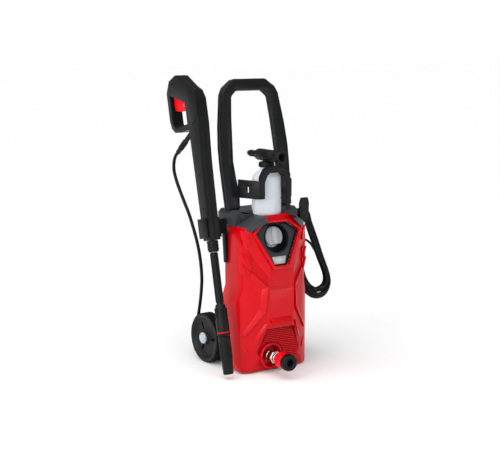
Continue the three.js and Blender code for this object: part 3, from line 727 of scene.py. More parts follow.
    def boolean(self, obj: bpy.types.Object, tools: Sequence[bpy.types.Object],
                operation: str = "DIFFERENCE") -> bpy.types.Object:
        """Cuts, joins or meets a solid with others, which are used up.

        Args:
            obj: the solid that changes.
            tools: the other solids.
            operation: DIFFERENCE, UNION or INTERSECT.

        Returns:
            The changed solid.
        """
        for tool in tools:
            step = obj.modifiers.new("step", "BOOLEAN")
            step.operation = operation
            step.solver = "EXACT"
            step.object = tool
            self.bake(obj)
            bpy.data.objects.remove(tool)
        return obj

    def soften(self, obj: bpy.types.Object, width: float, segments: int = 2,
               angle: float = 25.0) -> bpy.types.Object:
        """Rounds a solid's edges and shades the rest smooth.

        Args:
            obj: the solid.
            width: edge width in millimetres.
            segments: steps across the edge.
            angle: edges sharper than this are rounded, in degrees.

        Returns:
            The solid.
        """
        if width > 0:
            edge = obj.modifiers.new("edge", "BEVEL")
            edge.limit_method = "ANGLE"
            edge.angle_limit = math.radians(angle)
            edge.width = width * MM
            edge.segments = segments
            edge.use_clamp_overlap = True
            edge.harden_normals = False
            self.bake(obj)
        obj.data.shade_smooth()
        obj.data.set_sharp_from_angle(angle=math.radians(32))
        return obj

    def patterned(self, name: str, tree: bpy.types.NodeTree, values: dict[str, object],
                  frame: Matrix = IDENTITY, points: Sequence[Point] = (),
                  runs: Sequence[Sequence[Point]] = ()) -> bpy.types.Object:
        """Runs a node tree and keeps its result as plain mesh.

        Args:
            name: the piece's name.
            tree: the tree.
            values: its named inputs.
            frame: the frame that the tree works in.
            points: points that it works on, if any.
            runs: open runs of edges that it works on, if any.

        Returns:
            The object, with its place in its vertices.
        """
        data = bpy.data.meshes.new(name)
        spots = [Vector(p) for p in points]
        edges = []
        for run in runs:
            start = len(spots)
            spots += [Vector(p) for p in run]
            edges += [(start + i, start + i + 1) for i in range(len(run) - 1)]
        data.from_pydata(spots, edges, [])
        obj = bpy.data.objects.new(name, data)
        bpy.context.scene.collection.objects.link(obj)
        step = obj.modifiers.new("pattern", "NODES")
        step.node_group = tree
        sockets = {s.name: s.identifier for s in tree.interface.items_tree
                   if s.item_type == "SOCKET" and s.in_out == "INPUT"}
        for key, value in values.items():
            step[sockets[key]] = value
        self.bake(obj)
        obj.data.transform(self.datum @ frame)
        return obj

    def together(self, name: str, pieces: Sequence[bpy.types.Object]) -> bpy.types.Object:
        """Several loose solids as one object, materials kept.

        Args:
            name: the joined object's name.
            pieces: the loose solids.

        Returns:
            The joined object.
        """
        first = pieces[0]
        shape = bmesh.new()
        materials: list[bpy.types.Material] = []
        for piece in pieces:
            start = len(shape.faces)
            shape.from_mesh(piece.data)
            shape.faces.ensure_lookup_table()
            own = list(piece.data.materials) or [None]
            for face in shape.faces[start:]:
                skin = own[min(face.material_index, len(own) - 1)]
                if skin not in materials:
                    materials.append(skin)
                face.material_index = materials.index(skin)
        data = bpy.data.meshes.new(name)
        shape.to_mesh(data)
        shape.free()
        for skin in materials:
            data.materials.append(skin)
        for piece in pieces[1:]:
            bpy.data.objects.remove(piece)
        first.data = data
        first.name = name
        return first

    def finish(self, obj: bpy.types.Object, finish: Moulding | BareMetal) -> bpy.types.Object:
        """Gives a whole solid one finish.

        Args:
            obj: the object.
            finish: the finish.

        Returns:
            The same object.
        """
        obj.data.materials.clear()
        obj.data.materials.append(self.skin(finish))
        for polygon in obj.data.polygons:
            polygon.material_index = 0
        return obj

    def fit(self, obj: bpy.types.Object, body: str = "root",
            stands_for: Sequence[str] = ()) -> bpy.types.Object:
        """Rides a piece on its body and hides the CAD nodes that it stands for.

        Args:
            obj: the finished piece.
            body: the body that it moves with.
            stands_for: CAD nodes that it hides.

        Returns:
            The piece.
        """
        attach(obj, body)
        if stands_for:
            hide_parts(*stands_for)
        LOG.info("%s on %s, %d faces", obj.name, body, len(obj.data.polygons))
        return obj

    def dressed(self, node: str, finish: Moulding | BareMetal, width: float,
                body: str = "root", segments: int = 2) -> bpy.types.Object:
        """A CAD node's own shape with rounded edges and a finish."""
        obj = self.soften(self.from_node(node), width, segments)
        return self.fit(self.finish(obj, finish), body, [node])

    def coat(self, obj: bpy.types.Object, finish: Moulding | BareMetal, width: float = 0.0,
             segments: int = 2) -> bpy.types.Object:
        """Softens a solid and gives it one finish."""
        return self.finish(self.soften(obj, width, segments), finish)

    def ring_of(self, name: str, finish: Moulding | BareMetal, count: int, radius: float,
                block: Point, frame: Matrix) -> bpy.types.Object:
        """Equal blocks round an axis: knurls, flutes and tread.

        Args:
            name: the piece's name.
            finish: its finish.
            count: how many blocks.
            radius: how far out their middles lie.
            block: each one's depth, width and length along the axis.
            frame: the frame whose z axis they go round.

        Returns:
            The blocks as one object.
        """
        return self.patterned(name, self.trees.ring, {
            "Count": count, "Radius": radius, "Block": block, "Material": self.skin(finish)},
            frame)

    def heads(self, name: str, finish: Moulding | BareMetal, radius: float, height: float,
              turn: Point, points: Sequence[Point], frame: Matrix = IDENTITY
              ) -> bpy.types.Object:
        """A screw head on every point.

        Args:
            name: the piece's name.
            finish: its finish.
            radius: a head's radius.
            height: a head's height.
            turn: how a head is turned from upright, in degrees about x, y and z.
            points: where they go.
            frame: the frame of the points.

        Returns:
            The heads as one object.
        """
        return self.patterned(name, self.trees.studs, {
            "Radius": radius, "Height": height, "Turn": tuple(math.radians(a) for a in turn),
            "Material": self.skin(finish)}, frame, points)

    def painted(self, node: str, finish: Moulding | BareMetal) -> None:
        """Gives a CAD node that is shown as it is a better material.

        Args:
            node: the CAD node's name.
            finish: the finish.
        """
        obj = self.frame_nodes[node]
        obj.data.materials.clear()
        obj.data.materials.append(self.skin(finish))


# ---------------------------------------------------------------- housing


@dataclass
class Housing:
    """The red front cover with its facets, bezel, grooves and lower recess, and the black rear."""

    plan: tuple = ((118, 30), (118, -60), (111, -81), (86, -95), (38, -122))
    bezel_in: tuple = ((24, 3), (74, 96), (39, 122))
    bezel_out: tuple = ((30, -8), (83, 96), (44, 131))
    groove_count: int = 7
    groove_side: float = 333.0
    groove_foot: float = 263.0
    recess: tuple = ((46, 128), (70, 62), (52, 20))
    recess_floor: float = -108.0
    inlet_x: float = -28.0
    inlet_z: float = 48.0
    ring_r: float = 34.0
    rib_count: int = 13
    rib_pitch: float = 6.4
    rib_slope: float = -0.28
    groove_side_pitch: float = 8.3
    groove_foot_pitch: float = 4.6
    facet_root: float = 2.2

    def build(self, shop: Workshop) -> None:
        """Builds and dresses the housing.

        Args:
            shop: the workshop that makes and fits the pieces.
        """
        self.front(shop)
        self.recess_parts(shop)
        shop.dressed("rear_housing", BLACK_PP, 2.0)
        self.rear_details(shop)
        shop.dressed("base_tray", BLACK_PP, 1.2)
        shop.dressed("top_cap", COLLAR_ABS, 2.2, segments=3)
        shop.dressed("front_foot", TREAD_RUBBER, 1.2)
        self.shoulders(shop)

    def grown(self, offset: float) -> list[tuple[float, float]]:
        """The cover's plan with its front and sides moved outwards."""
        return mirrored([(x + offset, y - offset if y < 0 else y) for x, y in self.plan])

    def layer(self, shop: Workshop, outline: Outline, low: float, high: float
              ) -> bpy.types.Object:
        """A patch of the cover's front skin between two offsets.

        Args:
            shop: the workshop.
            outline: the patch's edge, seen from the front.
            low: inner offset from the skin, negative inwards.
            high: outer offset.

        Returns:
            The patch as a solid.
        """
        patch = shop.prism("patch", outline, "Y", -150, -40)
        shop.boolean(patch, [shop.prism("outer", self.grown(high), "Z", 0, 430)], "INTERSECT")
        return shop.boolean(patch, [shop.prism("inner", self.grown(low), "Z", -10, 440)])

    def front(self, shop: Workshop) -> None:
        """The red cover with its recess, chevron grooves, bezel, facets and leaf fins.

        Args:
            shop: the workshop that makes and fits the pieces.
        """
        cover = shop.from_node("front_housing")
        shop.boolean(cover, [shop.prism("recess", mirrored(self.recess), "Y", -140, -90)])
        grooves = shop.patterned("grooves", shop.trees.sweep, {"Radius": 1.0, "Sides": 6},
                                 runs=self.groove_runs())
        shop.boolean(cover, [shop.close_up(grooves)])
        shop.coat(cover, RED_ABS, 1.0)
        proud = [self.bezel(shop)]
        for side in (-1, 1):
            proud += self.ridges(shop, side)
            for foot, head in ((316, 340), (286, 310)):
                leaf = [(side * 92, foot - 9), (side * 92, foot + 7), (side * 108, head)]
                proud.append(shop.coat(self.layer(shop, leaf, -1.0, 5.0), RED_ABS, 1.0))
        cover = shop.together("red_cover", [cover, *proud])
        shop.fit(cover, stands_for=["front_housing"])

    def shoulders(self, shop: Workshop) -> None:
        """The collar's two arms, which run forward over the red roof and down its corners.

        Args:
            shop: the workshop that makes and fits the pieces.
        """
        pieces = []
        for side in (-1, 1):
            band = [(side * x, z) for x, z in ((96, 411.5), (46, 438.8), (43, 425), (60, 414),
                                               (86, 397), (96, 401))]
            roof = [(side * x, z) for x, z in ((100.5, 410.4), (45.5, 439.2), (44, 436.2),
                                               (99, 407.4))]
            strip = shop.prism("roof_strip", roof, "Y", -130, -46)
            shop.boolean(strip, [shop.prism("plan", self.grown(1.4), "Z", 300, 460)],
                         "INTERSECT")
            for piece in (self.layer(shop, band, -1.6, 1.4), strip):
                pieces.append(shop.coat(piece, COLLAR_ABS, 0.8))
        shop.fit(shop.together("collar_arms", pieces))

    def groove_runs(self) -> list[list[Point]]:
        """Centrelines of the chevron grooves under the bezel, on the skin.

        Returns:
            One list of points for each groove.
        """
        runs = []
        for k in range(self.groove_count):
            side = self.groove_side - self.groove_side_pitch * k
            foot = self.groove_foot - self.groove_foot_pitch * k
            runs.append([(-87, -94.4, side), (-41.5, -120.0, foot + 5), (-33, -120.0, foot),
                         (33, -120.0, foot), (41.5, -120.0, foot + 5), (87, -94.4, side)])
        return runs

    def bezel(self, shop: Workshop) -> bpy.types.Object:
        """The raised frame round the control panel."""
        frame = shop.prism("bezel", mirrored(self.bezel_out), "Y", -7.5, 6.0, PANEL)
        hole = shop.prism("hole", mirrored(self.bezel_in), "Y", -20, 30, PANEL)
        return shop.coat(shop.boolean(frame, [hole]), RED_ABS, 2.2, 3)

    def skin_y(self, x: float) -> float:
        """Depth of the cover's front skin at a distance from its middle.

        Args:
            x: the distance from the middle.

        Returns:
            The y of the skin there.
        """
        at = abs(x)
        for (x1, y1), (x2, y2) in zip(self.plan[1:], self.plan[2:]):
            if at >= x2:
                return y2 + (y1 - y2) * min(1.0, (at - x2) / (x1 - x2))
        return self.plan[-1][1]

    def facet(self, shop: Workshop, corners: Sequence[Point]) -> bpy.types.Object:
        """A tilted facet moulded on the cover's skin.

        Args:
            shop: the workshop.
            corners: for each, x, z and how proud it stands of the skin.

        Returns:
            The facet as a thin solid.
        """
        points = [(x, self.skin_y(x) - h, z) for x, z, h in corners]
        points += [(x, self.skin_y(x) + self.facet_root, z) for x, z, _ in corners]
        return shop.mesh("facet", points, prism_faces(len(corners)))

    def ridges(self, shop: Workshop, side: int) -> list[bpy.types.Object]:
        """The bands and facets on one side, and with the +x side the one across the middle.

        Args:
            shop: the workshop that makes and fits the pieces.
            side: -1 or 1, the sign of x there.

        Returns:
            The finished solids.
        """
        proud, flush = 7.0, 0.3
        inner = ((86, 288), (46, 245), (52, 176), (103, 107))
        outer = ((92, 268), (59, 239), (65, 181), (113, 118))
        shapes = [[(*a, proud), (*b, proud), (*d, flush), (*c, flush)]
                  for a, b, c, d in zip(inner, inner[1:], outer, outer[1:])]
        shapes += [
            [(46, 143, 6.0), (72, 86, 3.0), (84, 84, flush), (52, 141, flush)],
            [(87, 336, 5.0), (99, 346, 2.0), (112, 378, flush), (111, 292, flush),
             (106, 282, 0.6), (87, 273, 4.0)],
            [(88, 388, 4.0), (110, 404, flush), (107, 380, flush), (88, 360, 4.0)],
            [(88, 54, 4.0), (98, 79, 1.5), (107, 82, flush), (108, 62, 0.5)]]
        if side > 0:
            shapes.append([(-34, 154, 0.4), (34, 154, 0.4), (34, 143, proud),
                           (-34, 143, proud)])
        return [shop.coat(self.facet(shop, [(side * x, z, h) for x, z, h in corners]),
                          RED_ABS, 0.5) for corners in shapes]

    def inlet_bore(self, shop: Workshop, radius: float) -> bpy.types.Object:
        """A rod on the inlet's axis, for cutting the recess clear of it."""
        ends = [(self.inlet_x, y, self.inlet_z) for y in (-140, -60)]
        return shop.rod("inlet_bore", radius, *ends)

    def recess_parts(self, shop: Workshop) -> None:
        """The lower recess's floor, its lip, the ring round the inlet and the slanted ribs.

        Args:
            shop: the workshop that makes and fits the pieces.
        """
        floor = shop.prism("floor", mirrored(self.recess), "Y", self.recess_floor,
                           self.recess_floor + 2.5)
        shop.boolean(floor, [self.inlet_bore(shop, self.ring_r - 2)])
        inner = mirrored([(x - 2.2, z - 2.2 if i == 0 else z) for i, (x, z)
                          in enumerate(self.recess)])
        lip = shop.prism("lip", mirrored(self.recess), "Y", -121, self.recess_floor)
        shop.boolean(lip, [shop.prism("lip_hole", inner, "Y", -130, -90)])
        shop.boolean(lip, [shop.prism("skin", self.grown(-0.8), "Z", 0, 140)], "INTERSECT")
        shop.boolean(lip, [self.inlet_bore(shop, self.ring_r - 0.4)])
        r = self.ring_r
        ring = shop.lathe("inlet_ring", [
            (r - 3.5, 0), (r + 2, 0), (r + 2, 11), (r, 13), (r - 2, 13), (r - 3.5, 11),
            (r - 3.5, 0)], (self.inlet_x, -103, self.inlet_z), (0, -1, 0), 96)
        below = [(-150, -10), (150, -10), (150, 14), (-150, 14)]
        shop.boolean(ring, [shop.prism("trim", below, "Y", -140, -60)])
        # The floor and lip take the deeper red of painted shade.
        pieces = [shop.coat(floor, RED_PAINTED_SHADE), shop.coat(lip, RED_PAINTED_SHADE, 0.3),
                  shop.coat(ring, RED_ABS)]
        ribs = shop.patterned("louvre_ribs", shop.trees.sweep, {
            "Radius": 2.1, "Sides": 10, "Material": shop.skin(RED_ABS)}, runs=self.rib_runs())
        ribs.data.shade_smooth()
        shop.fit(shop.together("inlet_recess", [*pieces, ribs]))

    def rib_runs(self) -> list[list[Point]]:
        """Centrelines of the ribs on the recess's floor, broken where the inlet's ring stands.

        Returns:
            One list of points for each unbroken stretch.
        """
        runs: list[list[Point]] = []
        for k in range(self.rib_count):
            run: list[Point] = []
            for i in range(57):
                x = -70 + 2.5 * i
                z = 134 - self.rib_pitch * k + self.rib_slope * (x + 40)
                side = 41 + 24 * min(1.0, (128 - z) / 66)
                clear = math.hypot(x - self.inlet_x, z - self.inlet_z) > self.ring_r + 6
                if abs(x) < side and 30 < z < 124 and clear:
                    run.append((x, self.recess_floor - 0.4, z))
                else:
                    runs.append(run)
                    run = []
        return [run for run in runs if len(run) > 1]

    def rear_details(self, shop: Workshop) -> None:
        """Slats behind the rear vent and the cover screws.

        Args:
            shop: the workshop that makes and fits the pieces.
        """
        slats = shop.patterned("rear_slats", shop.trees.row, {
            "Count": 7, "Start": (0.0, 61.0, 231.0), "Step": (0.0, 0.0, 16.0),
            "Block": (78.0, 1.2, 10.0), "Tilt": (math.radians(-32), 0.0, 0.0),
            "Material": shop.skin(BLACK_PP)})
        shop.fit(slats)
        spots = [(x, 66.2, z) for x in (-46, 46) for z in (120, 205, 395)]
        screws = shop.heads("rear_screws", STEEL, 3.4, 2.4, (90, 0, 0), spots)
        shop.fit(screws)


@dataclass
class ControlPanel:
    """The slate plate, the sunken dial with its silver knob, and the smoke window."""

    frame: tuple = ((24.5, 2.4), (74.6, 96.0), (39.4, 122.6))
    edge: tuple = ((20.6, 6.6), (67.4, 96.0), (36.2, 115.6))
    pane: tuple = ((17.6, 7.6), (23.6, 28.4))
    well_v: float = 79.0
    knob_v: float = 85.0
    well_r: float = 40.6
    knob_r: float = 28.6
    notch_count: int = 8

    def build(self, shop: Workshop) -> None:
        """Builds and dresses the panel.

        Args:
            shop: the workshop that makes and fits the pieces.
        """
        def well(radius: float) -> bpy.types.Object:
            """A rod on the well's axis, for cutting."""
            return shop.rod("well", radius, (0, 0, self.well_v), (0, 20, self.well_v), 96, PANEL)

        plate = shop.prism("panel_plate", mirrored(self.edge), "Y", 6.5, 10, PANEL)
        window = mirrored([(x + 0.4, z) for x, z in self.pane])
        shop.boolean(plate, [shop.prism("window", window, "Y", 0, 20, PANEL),
                             well(self.well_r + 0.1)])
        shop.coat(plate, PANEL_ABS, 0.7)
        tray = shop.prism("panel_tray", mirrored(self.frame), "Y", 10.2, 12, PANEL)
        shop.boolean(tray, [well(self.well_r - 1)])
        shop.fit(shop.coat(tray, BLACK_PP))
        shop.fit(plate, stands_for=["control_panel"])
        step = (Vector((74.0, 0, 96.0)) - Vector((24.0, 0, 3.0))) / (self.notch_count + 2)
        notches = shop.patterned("panel_notches", shop.trees.row, {
            "Count": self.notch_count, "Start": (30.0, 7.2, 14.0),
            "Step": (step.x, 0.0, step.z), "Block": (3.4, 2.0, 6.0),
            "Material": shop.skin(BLACK_PP)}, PANEL)
        shop.fit(notches)
        self.dial(shop)
        glass = shop.prism("window_pane", mirrored(self.pane), "Y", 5.4, 9, PANEL)
        shop.coat(glass, WINDOW_PC, 0.9, 3)
        shop.fit(glass, stands_for=["indicator_window"])
        lamp = shop.rod("window_lamp", 1.7, (13, 5.1, 25), (13, 6.0, 25), 24, PANEL)
        shop.fit(shop.coat(lamp, BLACK_PP))
        shop.painted("rotary_switch", ELECTRIC_PBT)

    def dial(self, shop: Workshop) -> None:
        """The cup in the panel and the knob that turns in it.

        Args:
            shop: the workshop that makes and fits the pieces.
        """
        r = self.well_r
        cup = shop.lathe("dial_cup_turned", [
            (5, 31), (5, 29), (r - 3.5, 29), (r - 2, 27.5), (r - 2, 0.6), (r - 1.6, -0.6),
            (r - 0.6, -0.6), (r, 0.6), (r, 31), (5, 31)], (0, 5, self.well_v), (0, 1, 0), 96,
            PANEL)
        shop.fit(shop.coat(cup, BLACK_PP),
                 stands_for=["dial_cup"])
        base = shop.lathe("knob", [
            (0, 0), (self.knob_r - 3, 0), (self.knob_r - 0.8, 1.0), (self.knob_r, 3.0),
            (self.knob_r, 17.5), (0, 17.5)], (0, 15, self.knob_v), (0, 1, 0), 96, PANEL)
        chord = shop.box("chord", (-40, 0, self.knob_v - 40), (40, 30, self.knob_v - 21),
                         PANEL)
        shop.boolean(base, [chord])
        grip = shop.prism("grip", [(-11, 16), (-8.5, 11), (-6, 8), (-3, 7), (3, 7), (6, 8),
                                   (8.5, 11), (11, 16)], "Z", self.knob_v - 20.8,
                          self.knob_v + 25.4, PANEL)
        shop.boolean(base, [grip], "UNION")
        shop.coat(base, KNOB_PAINT, 1.2, 3)
        stem = shop.rod("stem", 3.5, (0, 32, self.knob_v), (0, 46, self.knob_v), 32, PANEL)
        base = shop.together("switch_knob_turned", [base, shop.finish(stem, KNOB_PAINT)])
        shop.fit(base, "switch_knob", ["switch_knob"])


# ---------------------------------------------------------------- handle and bottle


@dataclass
class Handle:
    """The hoop handle in two shells, and the bracket that holds the bottle."""

    front_edge: float = 4.2
    rear_edge: float = 4.6
    bracket_edge: float = 1.4

    def build(self, shop: Workshop) -> None:
        """Builds and dresses the handle.

        Args:
            shop: the workshop that makes and fits the pieces.
        """
        shop.dressed("handle_front_shell", HANDLE_PA, self.front_edge)
        shop.dressed("handle_rear_shell", HANDLE_PA, self.rear_edge, segments=3)
        shop.dressed("bottle_bracket", BLACK_PP, self.bracket_edge)


@dataclass
class FoamBottle:
    """The milky oval bottle with its black spray head, nipple and nozzle."""

    centre_y: float = -47.0
    half: tuple = (44.0, 34.0)
    axis_z: float = 598.0

    def build(self, shop: Workshop) -> None:
        """Builds and dresses the bottle.

        Args:
            shop: the workshop that makes and fits the pieces.
        """
        a = self.half[0]
        squash = self.half[1] / a
        profile = [(0, 429), (30, 429), (36, 427.5), (38, 425), (41.5, 426.5), (a, 431),
                   (a, 474), (a - 1.2, 477), (a - 1.2, 481), (a, 484), (a, 528), (a - 1, 534),
                   (41.5, 540), (36, 547), (28, 554), (21.5, 559), (19, 562), (18, 565),
                   (18, 575), (15.6, 575), (15.6, 565), (17, 561), (27, 551.5), (35, 545),
                   (40, 538), (a - 2.4, 530), (a - 2.4, 433), (37, 431.2), (0, 431.2)]
        bottle = shop.lathe("bottle_blown", profile, (0, self.centre_y, 0), (0, 0, 1), 96,
                            squash=squash)
        shop.fit(shop.coat(bottle, BOTTLE_PE), "foam_bottle",
                 ["foam_bottle"])
        shop.painted("suction_tube", BOTTLE_PE)
        self.head(shop)

    def head(self, shop: Workshop) -> None:
        """The screw cap, barrel, nipple and turning nozzle.

        Args:
            shop: the workshop that makes and fits the pieces.
        """
        y0, z0 = -98, self.axis_z
        cap = shop.lathe("cap", [(0, 576), (18.4, 576), (18.4, 566), (20.6, 566), (21.5, 567.5),
                                 (21.5, 577), (20, 579.4), (11, 582), (11, 592), (0, 592)],
                         (0, self.centre_y, 0), (0, 0, 1))
        knurl = shop.ring_of("cap_knurl", BLACK_PP, 30, 21.2, (1.6, 1.6, 9.0),
                             Matrix.Translation((0, self.centre_y, 572.5)))
        barrel = shop.lathe("barrel", [
            (0, 0), (13, 0), (14, 1), (14, 10), (16.5, 14), (16.5, 58), (15.6, 59), (15.6, 62),
            (16.5, 63), (16.5, 85), (15.6, 88), (12, 92), (12, 97), (11, 98), (0, 98)],
            (0, y0, z0), (0, 1, 0))
        nipple = shop.lathe("nipple", [
            (0, 0), (7, 0), (7, 8), (9.5, 10), (9.5, 14), (9, 15.4), (7, 17), (7, 24), (9.5, 26),
            (9.5, 30), (9, 31.4), (7, 33), (7, 39), (6, 40), (0, 40)], (0, -0.5, z0), (0, 1, 0))
        pieces = [shop.coat(p, BLACK_PP) for p in (cap, barrel, nipple)]
        shop.fit(shop.together("foam_head_turned", [*pieces, knurl]),
                 "foam_bottle", ["foam_head"])
        nozzle = shop.lathe("foam_nozzle_turned", [
            (5, 8), (12, 24), (14.5, 24), (15.5, 23.6), (17.5, 20), (17.5, 1), (16.5, 0),
            (14.4, 0), (14.4, 7), (5, 8)], (0, -97.5, z0), (0, -1, 0))
        shop.coat(nozzle, BLACK_PP)
        grips = shop.ring_of("nozzle_grips", BLACK_PP, 16, 17.3, (1.6, 2.4, 15.0),
                             Matrix.Translation((0, -107.5, z0)) @ LAID_DOWN)
        shop.fit(shop.together("foam_nozzle_gripped", [nozzle, grips]),
                 "foam_nozzle", ["foam_nozzle"])


# ---------------------------------------------------------------- wheels


@dataclass
class Wheels:
    """Two dished wheels with tread, slots and hub caps, on a steel axle."""

    axle_y: float = 80.0
    radius: float = 71.0
    inside: float = 95.0
    width: float = 35.0
    lugs: int = 40

    def build(self, shop: Workshop) -> None:
        """Builds and dresses both wheels.

        Args:
            shop: the workshop that makes and fits the pieces.
        """
        for side, word in ((-1, "left"), (1, "right")):
            self.wheel(shop, side, f"wheel_{word}")
            self.cap(shop, side, f"wheel_{word}", f"hub_cap_{word}")
        axle = shop.rod("axle_ground", 6, (-132, self.axle_y, self.radius),
                        (132, self.axle_y, self.radius))
        shop.fit(shop.coat(axle, STEEL, 0.6), stands_for=["axle"])

    def wheel(self, shop: Workshop, side: int, body: str) -> None:
        """One wheel: dished disc, rim, slots and two rows of tread.

        Args:
            shop: the workshop that makes and fits the pieces.
            side: -1 or 1, the sign of x there.
            body: the body that it rides on.
        """
        w = self.width
        profile = [(6.4, 0), (17, 0), (19, 14), (55, 14), (57, 0), (67, 0), (69.4, 2.4),
                   (69.4, w - 2.4), (67, w), (62, w), (60.5, w - 0.8), (58, w - 2.2),
                   (55, w - 6), (52, w - 9), (46, w - 10.5), (28, w - 10.5), (20, w - 8),
                   (18, w - 3), (16.6, w - 2), (6.4, w - 2), (6.4, 0)]
        at = (side * self.inside, self.axle_y, self.radius)
        disc = shop.lathe(body, profile, at, (side, 0, 0), 120)
        slots = []
        for i in range(3):
            turn = (Matrix.Translation((0, self.axle_y, self.radius))
                    @ Matrix.Rotation(math.radians(180 + 120 * i), 4, "X"))
            slots.append(shop.box("slot", (-200, 26, -3.8), (200, 47, 3.8), turn))
        shop.boolean(disc, slots)
        shop.coat(disc, WHEEL_PP)
        rows = []
        for row, phase in ((0.28, 0.0), (0.72, math.pi / self.lugs)):
            frame = (Matrix.Translation((side * (self.inside + w * row), self.axle_y,
                                         self.radius))
                     @ Matrix.Rotation(math.pi / 2, 4, "Y") @ Matrix.Rotation(phase, 4, "Z"))
            rows.append(shop.ring_of("tread", TREAD_RUBBER, self.lugs, 69.4, (3.2, 7.6, 12.5),
                                     frame))
        whole = shop.together(f"{body}_moulded", [disc, *rows])
        shop.fit(whole, body, [body])

    def cap(self, shop: Workshop, side: int, body: str, node: str) -> None:
        """The pale domed hub cap with its raised ring.

        Args:
            shop: the workshop that makes and fits the pieces.
            side: -1 or 1, the sign of x there.
            body: the body that it rides on.
            node: the CAD node's name.
        """
        profile = [(6.3, 1), (6.3, 0), (15.4, 0), (16, 0.8), (16, 4), (14.6, 6), (11.5, 7.2),
                   (10.8, 6.4), (9.6, 6.4), (9, 7.8), (4, 8.8), (0, 9), (0, 5), (6.3, 4.6),
                   (6.3, 1)]
        cap = shop.lathe(f"{node}_domed", profile,
                         (side * (self.inside + self.width - 1.7), self.axle_y, self.radius),
                         (side, 0, 0))
        shop.fit(shop.coat(cap, HUB_ABS), body, [node])


# ---------------------------------------------------------------- water inlet


@dataclass
class WaterInlet:
    """The plated inlet, its red collar and the black garden-hose connector."""

    x: float = -28.0
    z: float = 48.0

    def build(self, shop: Workshop) -> None:
        """Builds and dresses the inlet.

        Args:
            shop: the workshop that makes and fits the pieces.
        """
        ahead = (0, -1, 0)
        tube = shop.lathe("inlet_turned", [
            (5, 0), (8, 0), (8, 34), (12.4, 34.5), (13, 35), (13, 48), (14.4, 48.6), (15, 49.4),
            (15, 64), (14.2, 65), (14.2, 90), (15, 91), (15, 97), (14.2, 98), (14.2, 101),
            (15, 102), (15, 112), (5, 112), (5, 0)], (self.x, -46, self.z), ahead)
        shop.coat(tube, NICKEL)
        nut = shop.lathe("nut", [(13, 0), (17, 0), (18.5, 1.4), (18.5, 14.6), (17, 16), (13, 16),
                                 (13, 0)], (self.x, -118, self.z), ahead, 6)
        shop.coat(nut, NICKEL, 0.6)
        shop.fit(shop.together("water_inlet_turned", [tube, nut]),
                 stands_for=["water_inlet"])
        collar = shop.lathe("collar", [
            (8, 0), (21, 0), (22, 1), (22, 7), (21.2, 7.7), (21.2, 8.9), (22, 9.6), (22, 22),
            (20.4, 25.4), (19.4, 26), (8, 26), (8, 0)], (self.x, -158.3, self.z), ahead)
        shop.fit(shop.coat(collar, SIGNAL_RED),
                 stands_for=["inlet_collar"])
        body = shop.lathe("connector", [
            (5, 0), (22.4, 0), (23.1, 1), (23.1, 15.5), (21.4, 19), (19.6, 20), (13.4, 20),
            (10, 17), (10, 3), (5, 3), (5, 0)], (self.x, -184.6, self.z), ahead)
        shop.coat(body, CONNECTOR_PA)
        ribs = shop.ring_of("ribs", CONNECTOR_PA, 30, 22.7, (1.5, 2.2, 12.0),
                            Matrix.Translation((self.x, -192.8, self.z)) @ LAID_DOWN)
        shop.fit(shop.together("hose_connector_ribbed", [body, ribs]),
                 stands_for=["hose_connector"])


# ---------------------------------------------------------------- gun and lance


@dataclass
class Gun:
    """The trigger gun: two shells, inset cover, screws, trigger, button and swivel."""

    screws: tuple = ((-14, 700), (-6, 778), (88, 828), (108, 740), (0, 650), (0, 560), (0, 470),
                     (0, 405))

    def build(self, shop: Workshop) -> None:
        """Builds and dresses the gun.

        Args:
            shop: the workshop that makes and fits the pieces.
        """
        shop.dressed("gun_left_shell", GUN_PA, 3.4, "gun", 3)
        shop.dressed("gun_right_shell", GUN_PA, 3.4, "gun", 3)
        cover = shop.prism("gun_cover", [(-24, 715), (-27, 760), (-18, 782), (2, 788), (14, 770),
                                         (14, 716), (4, 700)], "X", -18.4, -15.5, GUN)
        shop.fit(shop.coat(cover, GUN_PA, 1.1, 3), "gun")
        spots = [(-17.2, y, z) for y, z in self.screws]
        holes = shop.heads("gun_screws", WHEEL_PP, 3.3, 1.0, (0, 90, 0), spots, GUN)
        shop.fit(holes, "gun")
        trigger = shop.prism("trigger_moulded", [
            (31, 764), (33, 752), (52, 747), (76, 748), (98, 753), (101, 770), (100, 794),
            (60, 778)], "X", -7, 7, GUN)
        bore = shop.rod("bore", 2.9, (-10, 36, 759), (10, 36, 759), 32, GUN)
        shop.boolean(trigger, [bore])
        shop.fit(shop.coat(trigger, SIGNAL_RED, 1.8, 3),
                 "trigger", ["trigger"])
        shop.dressed("gun_button", SIGNAL_RED, 1.0, "gun_button", 3)
        shop.dressed("trigger_pin", STEEL, 0.0, "gun")
        shop.painted("gun_valve", BRASS)
        self.swivel(shop)

    def swivel(self, shop: Workshop) -> None:
        """The ribbed sleeve where the hose leaves the grip.

        Args:
            shop: the workshop that makes and fits the pieces.
        """
        start, end = Vector((0, 15, 694)), Vector((0, 125, 640))
        axis = end - start
        profile = [(0, 0), (6.9, 0), (6.9, 66)]
        for k in range(6):
            h = 68 + 6 * k
            profile += [(8.4, h), (8.4, h + 3.6), (7.2, h + 4), (7.2, h + 5.6)]
        profile += [(6.9, 106), (6.9, axis.length - 1), (6, axis.length), (0, axis.length)]
        sleeve = shop.lathe("hose_swivel_ribbed", profile, start, axis, 48, GUN)
        shop.fit(shop.coat(sleeve, GUN_PA), "gun", ["hose_swivel"])


